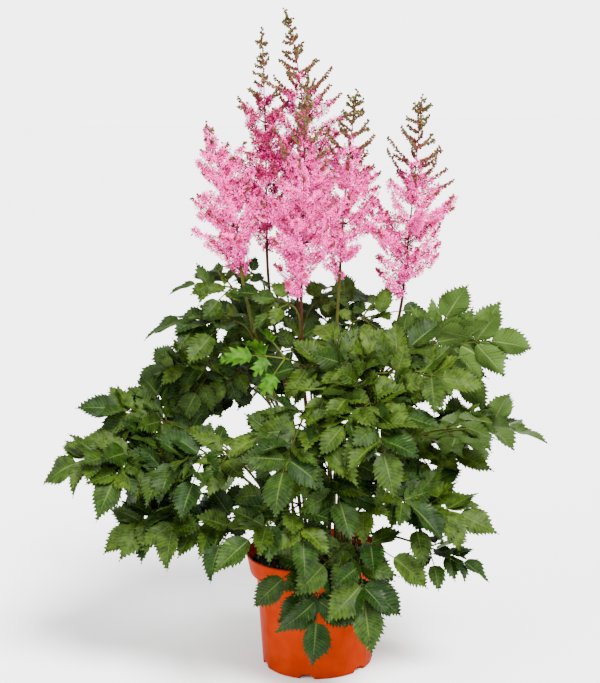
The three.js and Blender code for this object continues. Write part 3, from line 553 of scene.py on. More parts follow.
def rising_path(root, end, arrival, steps):
    """A path from its place in the soil up to a point, which it reaches along a direction."""
    foot = np.array([root[0], root[1], SOIL_Z - SOCKET_DEPTH + GAP])
    start = np.array([root[0], root[1], SOIL_Z + STRAIGHT_RISE], float)
    reach = np.linalg.norm(end - start)
    lower = start + UP * reach * STALK_LEAN
    upper = end - arrival * reach * STALK_ARRIVAL
    return np.vstack([foot, bezier([start, lower, upper, end], steps)])


def axis_corners(stem):
    return (np.array(place, float) for place in (stem.base, stem.bend, stem.tip))


def axis_point(stem, share):
    one, two, three = axis_corners(stem)
    return one * (1 - share) ** 2 + two * 2 * share * (1 - share) + three * share ** 2


def axis_direction(stem, share):
    one, two, three = axis_corners(stem)
    return unit((two - one) * (1 - share) + (three - two) * share)


def stalk_path(stem, steps):
    arrival = axis_direction(stem, 0)
    return rising_path(stem.root, axis_point(stem, 0) - arrival * GAP, arrival, steps)


def place_on(points, share):
    place = share * (len(points) - 1)
    index = int(place)
    step = points[index + 1] - points[index]
    return points[index] + step * (place - index), unit(step)


def leaf_path(leaf, along):
    """The path of a leaf stalk up to its hub, from the soil or off the side of a flower stalk."""
    end = np.array(leaf.hub, float) - along * LIMB_RADIUS
    if leaf.foot[0] not in FLOWER_STEMS:
        return rising_path(leaf.foot, end, along, STEM_STEPS)
    stem, share = FLOWER_STEMS[leaf.foot[0]], leaf.foot[1]
    point, stalk_along = place_on(stalk_path(stem, STALK_STEPS), share)
    outward = axes_for(stalk_along, end - point).face
    sprung = point + outward * (STALK_RADIUS + PETIOLE_SPRING)
    bend = end - along * np.linalg.norm(end - sprung) * STALK_ARRIVAL
    return np.vstack([point, bezier([sprung, bend, end], STEM_STEPS // 2)])


# ---------------------------------------------------------------- meshes

# A triangle whose edges have a smaller cross product, in square metres, is left out as flat.
LEAST_CROSS = 1e-12
# A direction that no stem follows.
TUBE_GUIDE = np.array([0.3, -0.9, 0.1])
# The place of points that aren't painted by it.
NOWHERE = (0, 0, 0)


class Body:
    """Triangles gathered for one piece, each vertex with a tint and a place to paint by."""

    def __init__(self, name):
        self.name, self.count = name, 0
        self.points, self.faces, self.materials, self.tints, self.places = [], [], [], [], []

    def add(self, points, faces, material, tint, place):
        """tint is one number or one a point. place is three numbers a point, or for all."""
        count = len(points)
        self.points.append(points)
        self.faces.append(np.asarray(faces) + self.count)
        self.materials.append(np.full(len(faces), material))
        self.tints.append(np.broadcast_to(tint, (count,)))
        self.places.append(np.broadcast_to(place, (count, 3)))
        self.count += count

    def build(self, materials, smooth=True):
        points = np.concatenate(self.points) * MM
        faces = np.concatenate(self.faces)
        corners = points[faces]
        crosses = np.cross(corners[:, 1] - corners[:, 0], corners[:, 2] - corners[:, 0])
        real = np.linalg.norm(crosses, axis=1) > LEAST_CROSS
        faces, slots = faces[real], np.concatenate(self.materials)[real]
        mesh = bpy.data.meshes.new(self.name)
        mesh.vertices.add(len(points))
        mesh.vertices.foreach_set("co", points.astype(np.float32).ravel())
        mesh.loops.add(faces.size)
        mesh.loops.foreach_set("vertex_index", faces.astype(np.int32).ravel())
        mesh.polygons.add(len(faces))
        mesh.polygons.foreach_set("loop_start", np.arange(0, faces.size, 3, dtype=np.int32))
        mesh.polygons.foreach_set("material_index", slots.astype(np.int32))
        mesh.polygons.foreach_set("use_smooth", np.full(len(faces), smooth))
        for name, kind, field, values in (
            ("tint", "FLOAT", "value", self.tints),
            ("place", "FLOAT_VECTOR", "vector", self.places),
        ):
            attribute = mesh.attributes.new(name, kind, "POINT")
            attribute.data.foreach_set(field, np.concatenate(values).astype(np.float32).ravel())
        mesh.update(calc_edges=True)
        for material in materials:
            mesh.materials.append(material)
        piece = bpy.data.objects.new(self.name, mesh)
        bpy.context.scene.collection.objects.link(piece)
        return piece


def hand_in(piece, slot, *nodes):
    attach(piece, "root")
    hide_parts(*nodes)


def strip_faces(rows, columns, closed):
    """Two triangles for each cell of a grid. A closed one joins its last column to its first."""
    row, column = np.mgrid[0:rows - 1, 0:columns if closed else columns - 1]
    one = (row * columns + column).ravel()
    two = (row * columns + (column + 1) % columns).ravel()
    return np.concatenate([
        np.stack([one, two, two + columns], 1), np.stack([one, two + columns, one + columns], 1)])


def add_tube(body, path, radii, material, tint, sides=STEM_SIDES):
    """A round stem along a path, with both ends closed."""
    path = np.asarray(path, float)
    along = units(np.gradient(path, axis=0))
    side = units(np.cross(along, TUBE_GUIDE))
    face = np.cross(side, along)
    angles = np.linspace(0, ROUND, sides, endpoint=False)
    radii = np.broadcast_to(radii, (len(path),))[:, None, None]
    ring = side[:, None] * np.cos(angles)[:, None] - face[:, None] * np.sin(angles)[:, None]
    points = (path[:, None] + ring * radii).reshape(-1, 3)
    faces = strip_faces(len(path), sides, True)
    last = (len(path) - 1) * sides
    fan = np.arange(1, sides - 1)
    start_cap = np.stack([np.zeros_like(fan), fan + 1, fan], 1)
    end_cap = np.stack([np.full_like(fan, last), last + fan, last + fan + 1], 1)
    tints = np.repeat(np.broadcast_to(tint, (len(path),)), sides)
    body.add(points, np.concatenate([faces, start_cap, end_cap]), material, tints, NOWHERE)


# ---------------------------------------------------------------- leaves

BLADE, LEAF_STEM = 0, 1


def blade_width(share):
    """A leaflet's half width along its length: a rounded foot and a drawn-out tip."""
    power = FOOT_ROUNDNESS + TIP_SHARPNESS * share ** 2
    return BROADNESS * np.sin(math.pi * share ** WIDEST_LOW) ** power


def blade_outline(leaflet, jaggedness, station, rng):
    """How far along and across a blade its points lie, and the teeth at its margin."""
    share, tooth = station / (len(station) - 1), station % 2
    fullness = np.sin(math.pi * share)
    large = np.where(station % 4 == 1, LARGE_TOOTH, SMALL_TOOTH)
    jag = np.where(tooth == 1, TOOTH_OUT * large, -TOOTH_IN) * jaggedness
    jag = jag * rng.uniform(*TOOTH_SCATTER, (len(share), COLUMNS.size))
    jag = jag * MARGIN * np.minimum(1, TOOTH_FADE * fullness)
    forward = TOOTH_FORWARD / (len(station) // 2) * tooth * MARGIN
    along = share - VEIN_LEAN * fullness * (1 - OUT) + forward * fullness
    along = BLADE_START + (1 - BLADE_START) * np.minimum(along, 1)
    width = blade_width(share) * leaflet.half_width + jag
    return along, COLUMNS * width * leaflet.length


def blade_relief(length, station, rng):
    """How far a blade's points are off its plane: quilted between the veins, waved and bent."""
    share, tooth = station / (len(station) - 1), station % 2
    fullness = np.sin(math.pi * share)
    puffs = rng.uniform(*QUILT_SCATTER, (len(share), COLUMNS.size)) * np.sin(math.pi * OUT)
    quilt = QUILT * (1 - tooth) * puffs - MIDRIB_SINK * (1 - OUT) ** 4
    phase, bend = rng.uniform(0, ROUND), rng.uniform(*TIP_BENDS)
    wave = WAVE * np.sin(ROUND * WAVES * share + phase + WAVE_SHIFT * np.sign(COLUMNS)) * OUT
    return quilt * fullness + (wave * fullness + bend * share ** 2) * length


def bent_sheet(leaflet, along, half, lift, rng):
    """A blade's upper points on a spine that arches and twists, and the way that each faces."""
    arch = LEAFLET_ARCH + rng.uniform(*ARCH_SCATTER)
    fold = LEAFLET_FOLD + rng.uniform(*FOLD_SCATTER)
    twist = (rng.uniform(*TWISTS) * along)[..., None]
    turn = arch * along[..., None]
    axes, length = leaflet.axes, leaflet.length
    level = axes.face * np.cos(turn) + axes.along * np.sin(turn)
    side = axes.side * np.cos(twist) + level * np.sin(twist)
    face = level * np.cos(twist) - axes.side * np.sin(twist)
    spine = (leaflet.base
             + axes.along * length * np.sin(turn) / arch - axes.face * length * (1 - np.cos(turn)) / arch)
    height = np.abs(half) * math.sin(fold) + lift
    return spine + side * (half * math.cos(fold))[..., None] + face * height[..., None], face


def add_blade(body, leaflet, tint, teeth, rng):
    """A leaflet: two sheets that meet at a sawtooth edge, and its own short stalk."""
    count = max(teeth.fewest, round(leaflet.length / teeth.pitch))
    station = np.arange(2 * count + 1)[:, None]
    along, half = blade_outline(leaflet, teeth.jaggedness, station, rng)
    lift = blade_relief(leaflet.length, station, rng)
    top, face = bent_sheet(leaflet, along, half, lift, rng)
    bottom = top - face * (BLADE_THICKNESS * (1 - COLUMNS ** 4))[..., None]
    for points, under, kept, way in ((top, 0, slice(None), -1), (bottom, 1, UNDER_COLUMNS, 1)):
        place = np.stack(np.broadcast_arrays(station / 2, COLUMNS, float(under)), -1)[:, kept]
        sheet = points[:, kept]
        faces = strip_faces(*sheet.shape[:2], False)
        body.add(sheet.reshape(-1, 3), faces[:, ::way], BLADE, tint, place.reshape(-1, 3))
    root = leaflet.base - leaflet.axes.along * LEAFLET_STALK_ROOT
    stalk = [root, leaflet.base, top[1, COLUMNS.size // 2]]
    add_tube(body, stalk, LEAFLET_STALK_RADII, LEAF_STEM, tint, sides=TWIG_SIDES)


def extra_leaflets(limb, extra_pairs, rng):
    """Smaller leaflets that stand between the solids' own."""
    count = limb.pair_count + extra_pairs
    found = []
    for place in range(count):
        share = (place + FIRST_EXTRA) / (count + LAST_EXTRA)
        for way in (1, -1):
            turn = way * PAIR_ANGLE * rng.uniform(*EXTRA_TURNS)
            aside = turned_axes(limb.axes_at(share), turn, math.radians(rng.uniform(*EXTRA_LIFTS)))
            face = turned(aside.face, aside.along, rng.uniform(*EXTRA_ROLLS))
            found.append(Leaflet(
                axes_for(aside.along, face), limb.point(share) + aside.along * LIMB_TIP_RADIUS,
                limb.leaf_length * rng.uniform(*EXTRA_SIZES),
                LEAFLET_HALF_WIDTH * rng.uniform(*EXTRA_WIDTHS)))
    return found


def lower_limbs(leaf, path):
    """A pair of short limbs below the hub, where the leaf stalk first divides."""
    start, along = place_on(path, LOWER_TIER)
    axes = axes_for(along, np.array(leaf.face, float))
    length, leaf_length = LOWER_LIMB_LENGTH * leaf.size, LEAFLET_LENGTH * LOWER_LIMB_LEAF * leaf.size
    return [
        Limb(start, axes_for(turned(along, axes.face, turn), axes.face), length, leaf_length, 0)
        for turn in (SIDE_LIMB_ANGLE, -SIDE_LIMB_ANGLE)]


def share_between(limits, value):
    return min(1, max(0, (value - limits[0]) / (limits[1] - limits[0])))


def leaf_tint(leaf, rng):
    """How yellow a leaf is: those that reach out high up are paler, and the lowest are darkened by
    painted shade.
    """
    width = leaf.hub[0] if leaf.hub[0] > 0 else -leaf.hub[0] - LEFT_SHADE
    paleness = share_between(PALE_WIDTHS, width) * share_between(PALE_HEIGHTS, leaf.hub[2])
    lowness = 1 - share_between(LOW_HEIGHTS, leaf.hub[2])
    # Painted shade: the lowest leaves, with their stalks and limbs, are made darker.
    tint = DARK_TINT + (PALE_TINT - DARK_TINT) * paleness - LOW_LEAF_PAINTED_SHADE * lowness
    return tint + rng.uniform(*LEAF_TINTS)


def leaflet_tint(tint, rng):
    """A leaflet's own tint, near its leaf's. Only the young leaf's is greater than the greatest."""
    return min(GREATEST_TINT, tint + rng.uniform(*LEAFLET_TINTS))


def add_limb(body, limb, tint):
    points = [limb.point(share) for share in np.linspace(0, 1, LIMB_POINTS)]
    radii = np.linspace(LIMB_START, LIMB_END, LIMB_POINTS)
    add_tube(body, points, radii, LEAF_STEM, tint, sides=LIMB_SIDES)


def fill_leaf(body, leaf, limbs, path, tint, rng):
    """The lower pair of limbs, and the leaflets that fill the leaf out."""
    from_soil = leaf.foot[0] not in FLOWER_STEMS
    behind = leaf.hub[1] > BEHIND_Y
    far_left = from_soil and leaf.hub[0] < DENSE_LEFT_X
    tiered = from_soil and (behind or leaf.hub[2] > LOWER_TIER_LEAST_Z)
    middle = tiered and abs(leaf.hub[0]) < MIDDLE_X
    extra_pairs = DENSE_EXTRA_PAIRS if behind or far_left or middle else EXTRA_PAIRS
    below = lower_limbs(leaf, path) if tiered else []
    for limb in below:
        add_limb(body, limb, tint)
        end = Leaflet(limb.axes_at(1), limb.point(1), limb.leaf_length, LEAFLET_HALF_WIDTH)
        add_blade(body, end, leaflet_tint(tint, rng), FINE_TEETH, rng)
    for limb in limbs + below:
        for leaflet in extra_leaflets(limb, extra_pairs, rng):
            add_blade(body, leaflet, leaflet_tint(tint, rng), FINE_TEETH, rng)


def make_leaf(node, leaf, materials):
    """A leaf stalk and its limbs, the solid's leaflets, and smaller ones between them."""
    rng = np.random.default_rng(leaf.seed)
    draw = Draw(leaf.seed)
    body = Body(f"{node}_blades")
    tips = Tips(node)
    limbs = make_limbs(leaf)
    young = node == YOUNG
    tint = YOUNG_TINT if young else leaf_tint(leaf, rng)
    path = leaf_path(leaf, limbs[0].axes.along)
    thick = LIMB_RADIUS if leaf.foot[0] in FLOWER_STEMS else PETIOLE_RADIUS
    add_tube(body, path, np.linspace(thick, LIMB_START, len(path)), LEAF_STEM, tint)
    for limb in limbs:
        add_limb(body, limb, tint)
        for leaflet in make_leaflets(limb, draw):
            settled = tips.settled(leaflet, leaflet_tip)
            if settled and young:
                add_blade(body, settled, tint, YOUNG_TEETH, rng)
            elif settled:
                add_blade(body, settled, leaflet_tint(tint, rng), FINE_TEETH, rng)
    if not young:
        fill_leaf(body, leaf, limbs, path, tint, rng)
    hand_in(body.build(materials), "leaf", node)


# ---------------------------------------------------------------- flowers

FLORET, BUD = 0, 1


def spray_reach(share):
    """How far sprays reach at a share of their plume: flared at its foot and rounded at its top."""
    flare = PLUME_FOOT_REACH + PLUME_FOOT_FLARE * share
    return min(flare, PLUME_TOP_REACH * (1 - share) ** PLUME_TOP_ROUNDNESS)


def openness_at(stem, share):
    """1 where a plume's sprays are in full bloom, 0.5 at its bloom's share, and 0 in bud."""
    return min(1, max(0, (stem.bloom - share) * BLOOM_FADE + 0.5))


def spray_steepness(share):
    return STEEPEST_SPRAY + (FLATTEST_SPRAY - STEEPEST_SPRAY) * share


def make_sprays(stem):
    """The pairs of sprays of a plume, as its solid grows them."""
    draw = Draw(stem.seed)
    found = []
    for pair in range(stem.pairs):
        share = (pair + FIRST_SPRAY) / (stem.pairs + FIRST_SPRAY - LAST_SPRAY)
        turn = pair * SPRAY_PAIR_TURN
        axes = axes_for(axis_direction(stem, share), np.array([math.cos(turn), math.sin(turn), 0]))
        radius = STALK_TOP_RADIUS + (AXIS_TIP_RADIUS - STALK_TOP_RADIUS) * share
        reach = stem.reach * spray_reach(share) + SHORTEST_SPRAY
        for side in (1, -1):
            from_axis = spray_steepness(share) + draw(SPRAY_STEEP_SCATTER)
            outward = axes.side * side
            along = axes.along * math.cos(from_axis) + outward * math.sin(from_axis)
            base = axis_point(stem, share) + outward * radius
            length = reach * draw(SPRAY_LENGTHS)
            found.append(Spray(axes_for(along, axes.face), base, length, SPRAY_LIFT,
                               openness_at(stem, share), share))
    return found


def kind_of_spray(stem, pair):
    if pair < 0:
        return FOOT_SPRAYS
    if pair < LOW_SPRAY_SHARE * stem.pairs:
        return LOW_SPRAYS
    return HIGH_SPRAYS if openness_at(stem, pair / stem.pairs) else BUD_SPRAYS


def extra_sprays(stem, spread, rng):
    """Further sprays between the pairs, turned the other ways. The lowest fill the plume's foot."""
    found = []
    for pair in range(-1, stem.pairs):
        kind = kind_of_spray(stem, pair)
        for extra in range(1, kind.count + 1):
            share = (pair + extra / (kind.count + 1)) / (stem.pairs + FIRST_SPRAY - LAST_SPRAY)
            turn = pair * SPRAY_PAIR_TURN + GOLDEN_TURN * extra + rng.uniform(*TURN_SCATTER)
            outward = np.array([math.cos(turn), math.sin(turn), 0])
            axes = axes_for(axis_direction(stem, share), outward)
            from_axis = spray_steepness(share) + rng.uniform(*kind.flatter)
            along = axes.along * math.cos(from_axis) + axes.face * math.sin(from_axis)
            least = LEAST_FOOT_REACH if share < FIRST_SPRAY else 0
            reach = stem.reach * max(spray_reach(share), least) * spread
            length = reach * rng.uniform(*kind.lengths)
            found.append(Spray(axes_for(along, axes.side), axis_point(stem, share), length,
                               EXTRA_SPRAY_LIFT, openness_at(stem, share), share))
    return found


def spray_path(spray, shares):
    shares = np.asarray(shares)[:, None]
    lift = UP * spray.lift * spray.length * shares ** 2 / 2
    return spray.base + spray.axes.along * spray.length * shares + lift


def ways_across(ways, rng):
    """Two ways square to each way and to each other, turned by chance."""
    one = units(np.cross(ways, units(rng.normal(size=ways.shape))))
    return one, np.cross(ways, one)


def add_florets(body, centres, ways, sizes, tints, rng):
    """Open florets: narrow petals, each a thin closed wedge, round the way that a floret faces."""
    count = len(centres)
    one, two = ways_across(ways, rng)
    opening = rng.uniform(*PETAL_OPENINGS, (count, 1))
    spin = rng.uniform(0, ROUND, (count, 1))
    first = np.arange(count)[:, None] * PETAL_POINTS
    faces = np.concatenate([first + corners for corners in PETAL_FACES])
    for petal in range(PETALS):
        angle = spin + ROUND * petal / PETALS + rng.uniform(*PETAL_TURNS, (count, 1))
        outward = one * np.cos(angle) + two * np.sin(angle)
        along = ways * np.cos(opening) + outward * np.sin(opening)
        across = np.cross(along, ways)
        size = sizes[:, None] * rng.uniform(*PETAL_SIZES, (count, 1))
        middle = centres + along * size * PETAL_MIDDLE + ways * size * PETAL_CROWN
        half = across * size * PETAL_WIDTH
        corners = [centres + along * size * PETAL_START, middle + half, middle - half,
                   centres + along * size]
        place = np.zeros((count, PETAL_POINTS, 3))
        place[:, :, 0] = (0, PETAL_MIDDLE, PETAL_MIDDLE, 1)
        place[:, :, 1] = rng.uniform(0, 1, (count, 1))
        points = np.stack(corners, 1).reshape(-1, 3)
        body.add(points, faces, FLORET, np.repeat(tints, PETAL_POINTS), place.reshape(-1, 3))


def add_buds(body, centres, ways, sizes, tints, rng):
    """Small closed spindles, each with three sides."""
    count, corners = len(centres), len(BUD_CORNERS)
    basis = np.stack([*ways_across(ways, rng), ways], 1)
    points = centres[:, None] + np.einsum("kc,ncx->nkx", BUD_CORNERS, basis) * sizes[:, None, None]
    faces = (np.arange(count)[:, None, None] * corners + BUD_FACES).reshape(-1, 3)
    place = np.zeros((count, corners, 3))
    place[:, :, 1] = rng.uniform(0, 1, (count, 1))
    body.add(points.reshape(-1, 3), faces, BUD, np.repeat(tints, corners), place.reshape(-1, 3))


def add_clusters(body, feet, ways, tints, rng, reach=CLUSTER_REACH):
    """Short side shoots, each a tight row of buds from its foot outward."""
    count = len(feet) * CLUSTER_BUDS
    ways = np.repeat(ways, CLUSTER_BUDS, 0)
    centres = np.repeat(feet, CLUSTER_BUDS, 0) + ways * rng.uniform(*reach, (count, 1))
    centres += rng.normal(0, CLUSTER_SPREAD, (count, 3))
    faced = units(ways + rng.normal(0, BUD_WAY_SCATTER, (count, 3)))
    tints = np.clip(np.repeat(tints, CLUSTER_BUDS) + rng.uniform(*BUD_TINTS, count), 0, 1)
    add_buds(body, centres, faced, rng.uniform(*BUD_SIZES, count), tints, rng)


def ways_around(spray, angles, leans, rng):
    """Ways out from a spray at angles round it, and the ways that flowers there face."""
    angles = angles[:, None]
    outward = spray.axes.side * np.cos(angles) + spray.axes.face * np.sin(angles)
    return outward, units(outward + spray.axes.along * rng.uniform(*leans, angles.shape))


def brush_swell(along):
    """How thick a spray's brush of florets is along it: slim at its foot and blunt at its end."""
    flare = BRUSH_FLARE[0] + BRUSH_FLARE[1] * along
    return np.minimum(flare, BRUSH_TAPER[0] + BRUSH_TAPER[1] * along ** 3)


def open_florets(body, spray, open_to, depth, rng):
    """A bottle brush of florets, their pink deepened by painted shade the nearer they stand to its stem.
    """
    count = int(spray.length * open_to * FLORETS_PER_MM)
    if not count:
        return
    shares = rng.uniform(min(BARE_SPRAY_FOOT, open_to / 2), open_to, count)
    outward, ways = ways_around(spray, rng.uniform(0, ROUND, count), FLORET_LEANS, rng)
    out = rng.uniform(*FLORET_OUT, count)
    along = shares / open_to
    swell = brush_swell(along) * (YOUNG_BRUSH + (1 - YOUNG_BRUSH) * spray.openness)
    centres = spray_path(spray, shares) + outward * (out * FLORET_REACH * swell)[:, None]
    sizes = rng.uniform(*FLORET_SIZES, count) * np.minimum(1, FLORET_TAPER[0] + FLORET_TAPER[1] * along)
    # Painted shade: florets near the spray's stem are deeper pink, and the outermost are paler.
    tints = depth + INNER_PAINTED_SHADE * (0.5 - out) + YOUNG_DEPTH * (1 - spray.openness)
    tints = np.clip(tints + rng.uniform(*FLORET_TINTS, count), 0, 1)
    add_florets(body, centres, ways, sizes, tints, rng)


def stray_buds(body, spray, open_to, rng):
    """Buds that are still shut among a spray's open florets, more olive higher up the plume."""
    count = int(spray.length * open_to / STRAY_BUD_PITCH)
    shares = rng.uniform(FIRST_STRAY_BUD, 1, count) * open_to
    outward, ways = ways_around(spray, rng.uniform(0, ROUND, count), FLORET_LEANS, rng)
    centres = spray_path(spray, shares) + outward * rng.uniform(*STRAY_BUD_REACH, (count, 1))
    tints = rng.uniform(0, STRAY_BUD_TINTS[0] + STRAY_BUD_TINTS[1] * spray.share, count)
    add_buds(body, centres, ways, rng.uniform(*BUD_SIZES, count), tints, rng)


def budded_tip(body, spray, open_to, rng):
    """Clusters of buds to both sides from where a spray's open florets end, olive at the tip."""
    start = open_to * CLUSTER_START
    count = int(spray.length * (1 - start) / CLUSTER_PITCH) + 2
    shares = start + (1 - start) * (np.arange(count) + rng.uniform(0, 1, count)) / count
    angles = math.pi * np.arange(count) + rng.normal(0, CLUSTER_TURN_SCATTER, count)
    ways = ways_around(spray, angles, CLUSTER_LEANS, rng)[1]
    foot, rise, tip_rise = TIP_BUD_TINTS
    tints = rise * spray.share + tip_rise * shares + foot
    add_clusters(body, spray_path(spray, shares), ways, tints, rng)


def dress_spray(flowers, branches, spray, depth, rng):
    """A spray's thin stem, its florets and stray buds, and the clusters of buds at its tip."""
    path = spray_path(spray, np.linspace(0, 1, BRANCH_POINTS))
    radii = np.linspace(BRANCH_RADIUS, BRANCH_TIP_RADIUS, BRANCH_POINTS)
    add_tube(branches, path, radii, 0, spray.share, sides=TWIG_SIDES)
    open_to = min(1, spray.openness * rng.uniform(*OPEN_SHARES))
    open_florets(flowers, spray, open_to, depth, rng)
    stray_buds(flowers, spray, open_to, rng)
    if open_to < 1:
        budded_tip(flowers, spray, open_to, rng)


def bud_axis(body, stem, start, rng):
    """Clusters of buds on the plume's axis itself, from a share of it up to its very tip."""
    length = np.linalg.norm(np.array(stem.tip) - np.array(stem.base)) * (1 - start)
    count = int(length / AXIS_CLUSTER_PITCH)
    shares = np.linspace(start, 1, count)
    points = np.array([axis_point(stem, share) for share in shares])
    angles = np.arange(count) * GOLDEN_TURN
    outward = np.stack([np.cos(angles), np.sin(angles), np.zeros(count)], 1)
    ways = units(outward + UP * AXIS_CLUSTER_RISE)
    add_clusters(body, points, ways, (1 + shares) / 2, rng, AXIS_CLUSTER_REACH)


def make_plume(name, stem, flower_materials, branch_material):
    """A plume's axis, its solid's sprays and those between them, and its florets and buds."""
    rng = np.random.default_rng(stem.seed)
    node, look = f"plume_{name}", PLUME_LOOKS[name]
    flowers, branches = Body(f"{node}_florets"), Body(f"{node}_sprays")
    shares = np.linspace(0, 1, AXIS_POINTS)
    path = [axis_point(stem, share) for share in shares]
    thinner = (AXIS_TIP_RADIUS - STALK_TOP_RADIUS) * shares ** AXIS_TAPER
    add_tube(branches, path, STALK_TOP_RADIUS * AXIS_SLIMNESS + thinner, 0, shares)
    tips = Tips(node)
    stem = stem._replace(bloom=stem.bloom + look.later)
    settled = [tips.settled(spray, spray_tip) for spray in make_sprays(stem)]
    for spray in [spray for spray in settled if spray] + extra_sprays(stem, look.spread, rng):
        shorter = 1 - look.taper * share_between(TAPER_SHARES, spray.share)
        spray = spray._replace(length=spray.length * shorter)
        dress_spray(flowers, branches, spray, look.depth, rng)
    bud_axis(flowers, stem, look.budded, rng)
    hand_in(flowers.build(flower_materials, smooth=False), "plume", node)
    hand_in(branches.build([branch_material]), "stalk", node)


def make_stalk(name, stem, material):
    body = Body(f"stalk_{name}_stem")
    path = stalk_path(stem, STEM_STEPS)
    shares = np.linspace(0, 1, len(path))
    radii = STALK_RADIUS + (STALK_TOP_RADIUS - STALK_RADIUS) * shares
    add_tube(body, path, radii, 0, shares, sides=STALK_SIDES)
    hand_in(body.build([material]), "stalk", f"stalk_{name}")


# ---------------------------------------------------------------- pot and soil

POT_SEGMENTS = 180
POT_FLUTES = 12
FLUTE_DEPTH = 0.95
FLUTE_ROUNDNESS = 0.7
FLUTED_HEIGHTS = (9, COLLAR_FOOT_Z - 5)
FLUTED_RINGS = 12
COLLAR_HEIGHTS = (COLLAR_FOOT_Z + 4, POT_HEIGHT - 4)
COLLAR_RINGS = 5
COLLAR_EDGE = 1
FOOT_EDGE = 0.8
# The notches stand here as the photo shows them, half a pitch round from the solid's.
FIRST_NOTCH_ANGLE = math.radians(-12)
NOTCH_CORNER = 1
NOTCH_SKEW = 0.2
POLE = 0.01
HOLE_SIDES = 32
# How far inward and down from the top of the rim the corners of its rounded edge are.
RIM_CORNERS = [(0.4, 3), (0, 2.2), (0, 0.8), (0.6, 0), (POT_WALL, 0.2), (POT_WALL + 0.3, 2)]


def wall_radius(z):
    return FOOT_RADIUS + (SHOULDER_RADIUS - FOOT_RADIUS) * z / COLLAR_FOOT_Z


def collar_radius(z):
    share = (z - COLLAR_FOOT_Z) / (POT_HEIGHT - COLLAR_FOOT_Z)
    return COLLAR_FOOT_RADIUS + (RIM_RADIUS - COLLAR_FOOT_RADIUS) * share


def notch_height(angles):
    """How far the foot is raised at an angle, in its notches."""
    pitch = ROUND / FOOT_NOTCHES
    away = np.abs((angles - math.pi / 2 - FIRST_NOTCH_ANGLE + pitch / 2) % pitch - pitch / 2)
    inside = (FOOT_NOTCH_WIDTH / 2 + NOTCH_CORNER - away * FOOT_RADIUS) / FOOT_NOTCH_SLOPE
    return np.clip(inside, 0, 1) * CHANNEL_Z


def circle(radius, height, angles):
    """Points round a circle. Its radius and height are one number, or one for each point."""
    x, y = radius * np.cos(angles), radius * np.sin(angles)
    return np.stack(np.broadcast_arrays(x, y, height), 1)


def pot_profile():
    """Radius, height, share of the notches and share of the flutes, from the middle underneath,
    over the rim, to the middle inside."""
    floor_z, ledge_z = CHANNEL_Z + POT_WALL, COLLAR_FOOT_Z + POT_WALL
    under = [(POLE, 0), (CHANNEL_INNER - CHANNEL_SLOPE, 0), (CHANNEL_INNER, CHANNEL_Z),
             (CHANNEL_OUTER, CHANNEL_Z)]
    foot = [(CHANNEL_OUTER + CHANNEL_SLOPE, 0), (FOOT_RADIUS - FOOT_EDGE, 0), (FOOT_RADIUS, FOOT_EDGE)]
    wall = [(wall_radius(z), z) for z in np.linspace(*FLUTED_HEIGHTS, FLUTED_RINGS)]
    collar = [
        (SHOULDER_RADIUS, COLLAR_FOOT_Z - COLLAR_EDGE), (SHOULDER_RADIUS + COLLAR_EDGE, COLLAR_FOOT_Z),
        (COLLAR_FOOT_RADIUS - COLLAR_EDGE, COLLAR_FOOT_Z),
        (COLLAR_FOOT_RADIUS, COLLAR_FOOT_Z + COLLAR_EDGE)]
    collar += [(collar_radius(z), z) for z in np.linspace(*COLLAR_HEIGHTS, COLLAR_RINGS)]
    rim = [(RIM_RADIUS - inward, POT_HEIGHT - down) for inward, down in RIM_CORNERS]
    inside = [
        (COLLAR_FOOT_RADIUS - POT_WALL, ledge_z), (SHOULDER_RADIUS - POT_WALL, ledge_z),
        (wall_radius(floor_z) - POT_WALL, floor_z), (CHANNEL_INNER - POT_WALL, floor_z),
        (CHANNEL_INNER - CHANNEL_SLOPE - POT_WALL, POT_WALL), (POLE, POT_WALL)]
    parts = ((under, 0, 0), (foot, 1, 0), (wall, 0, 1), (collar + rim + inside, 0, 0))
    return [(*point, notch, flute) for points, notch, flute in parts for point in points]


def make_pot(material):
    body = Body("pot_shell")
    angles = np.linspace(0, ROUND, POT_SEGMENTS, endpoint=False)
    flute = -FLUTE_DEPTH * np.abs(np.sin(angles * POT_FLUTES / 2)) ** FLUTE_ROUNDNESS
    notch = notch_height(angles)
    rings = [
        circle(radius + flute * fluted, np.maximum(z, (notch + z * NOTCH_SKEW) * notched), angles)
        for radius, z, notched, fluted in pot_profile()]
    body.add(np.concatenate(rings), strip_faces(len(rings), POT_SEGMENTS, True), 0, 0, NOWHERE)
    piece = body.build([material])
    cut_drain_holes(piece)
    hand_in(piece, "pot", "pot")


def cut_drain_holes(pot):
    cutters = []
    for index in range(FOOT_NOTCHES):
        angle = (index + 0.5) * ROUND / FOOT_NOTCHES
        middle = (CHANNEL_INNER + CHANNEL_OUTER) / 2 * MM
        place = (middle * math.cos(angle), middle * math.sin(angle), CHANNEL_Z * MM)
        bpy.ops.mesh.primitive_cylinder_add(
            vertices=HOLE_SIDES, radius=DRAIN_HOLE_RADIUS * MM, depth=4 * CHANNEL_Z * MM, location=place)
        cutters.append(bpy.context.object)
    for cutter in cutters:
        cut = pot.modifiers.new("drain hole", "BOOLEAN")
        cut.operation, cut.object, cut.solver = "DIFFERENCE", cutter, "EXACT"
    evaluated = pot.evaluated_get(bpy.context.evaluated_depsgraph_get())
    mesh = bpy.data.meshes.new_from_object(evaluated)
    pot.modifiers.clear()
    pot.data = mesh
    for cutter in cutters:
        bpy.data.objects.remove(cutter)


PEAT, CRUMB = 0, 1
SOIL_SEGMENTS = 96
SOIL_RINGS = 34
SOIL_TOP_RADIUS = 77
SOIL_ROUGHNESS = 0.8
SOIL_EDGE = 2.6
SOIL_SEED = 5
CRUMBS = 1700
CRUMB_SIZES = (0.7, 2.6)
CRUMB_REACH = 78
CRUMB_RISES = (-0.3, 0.9)
CRUMB_SCATTER = 0.25
FLECK_SHARE = 0.06


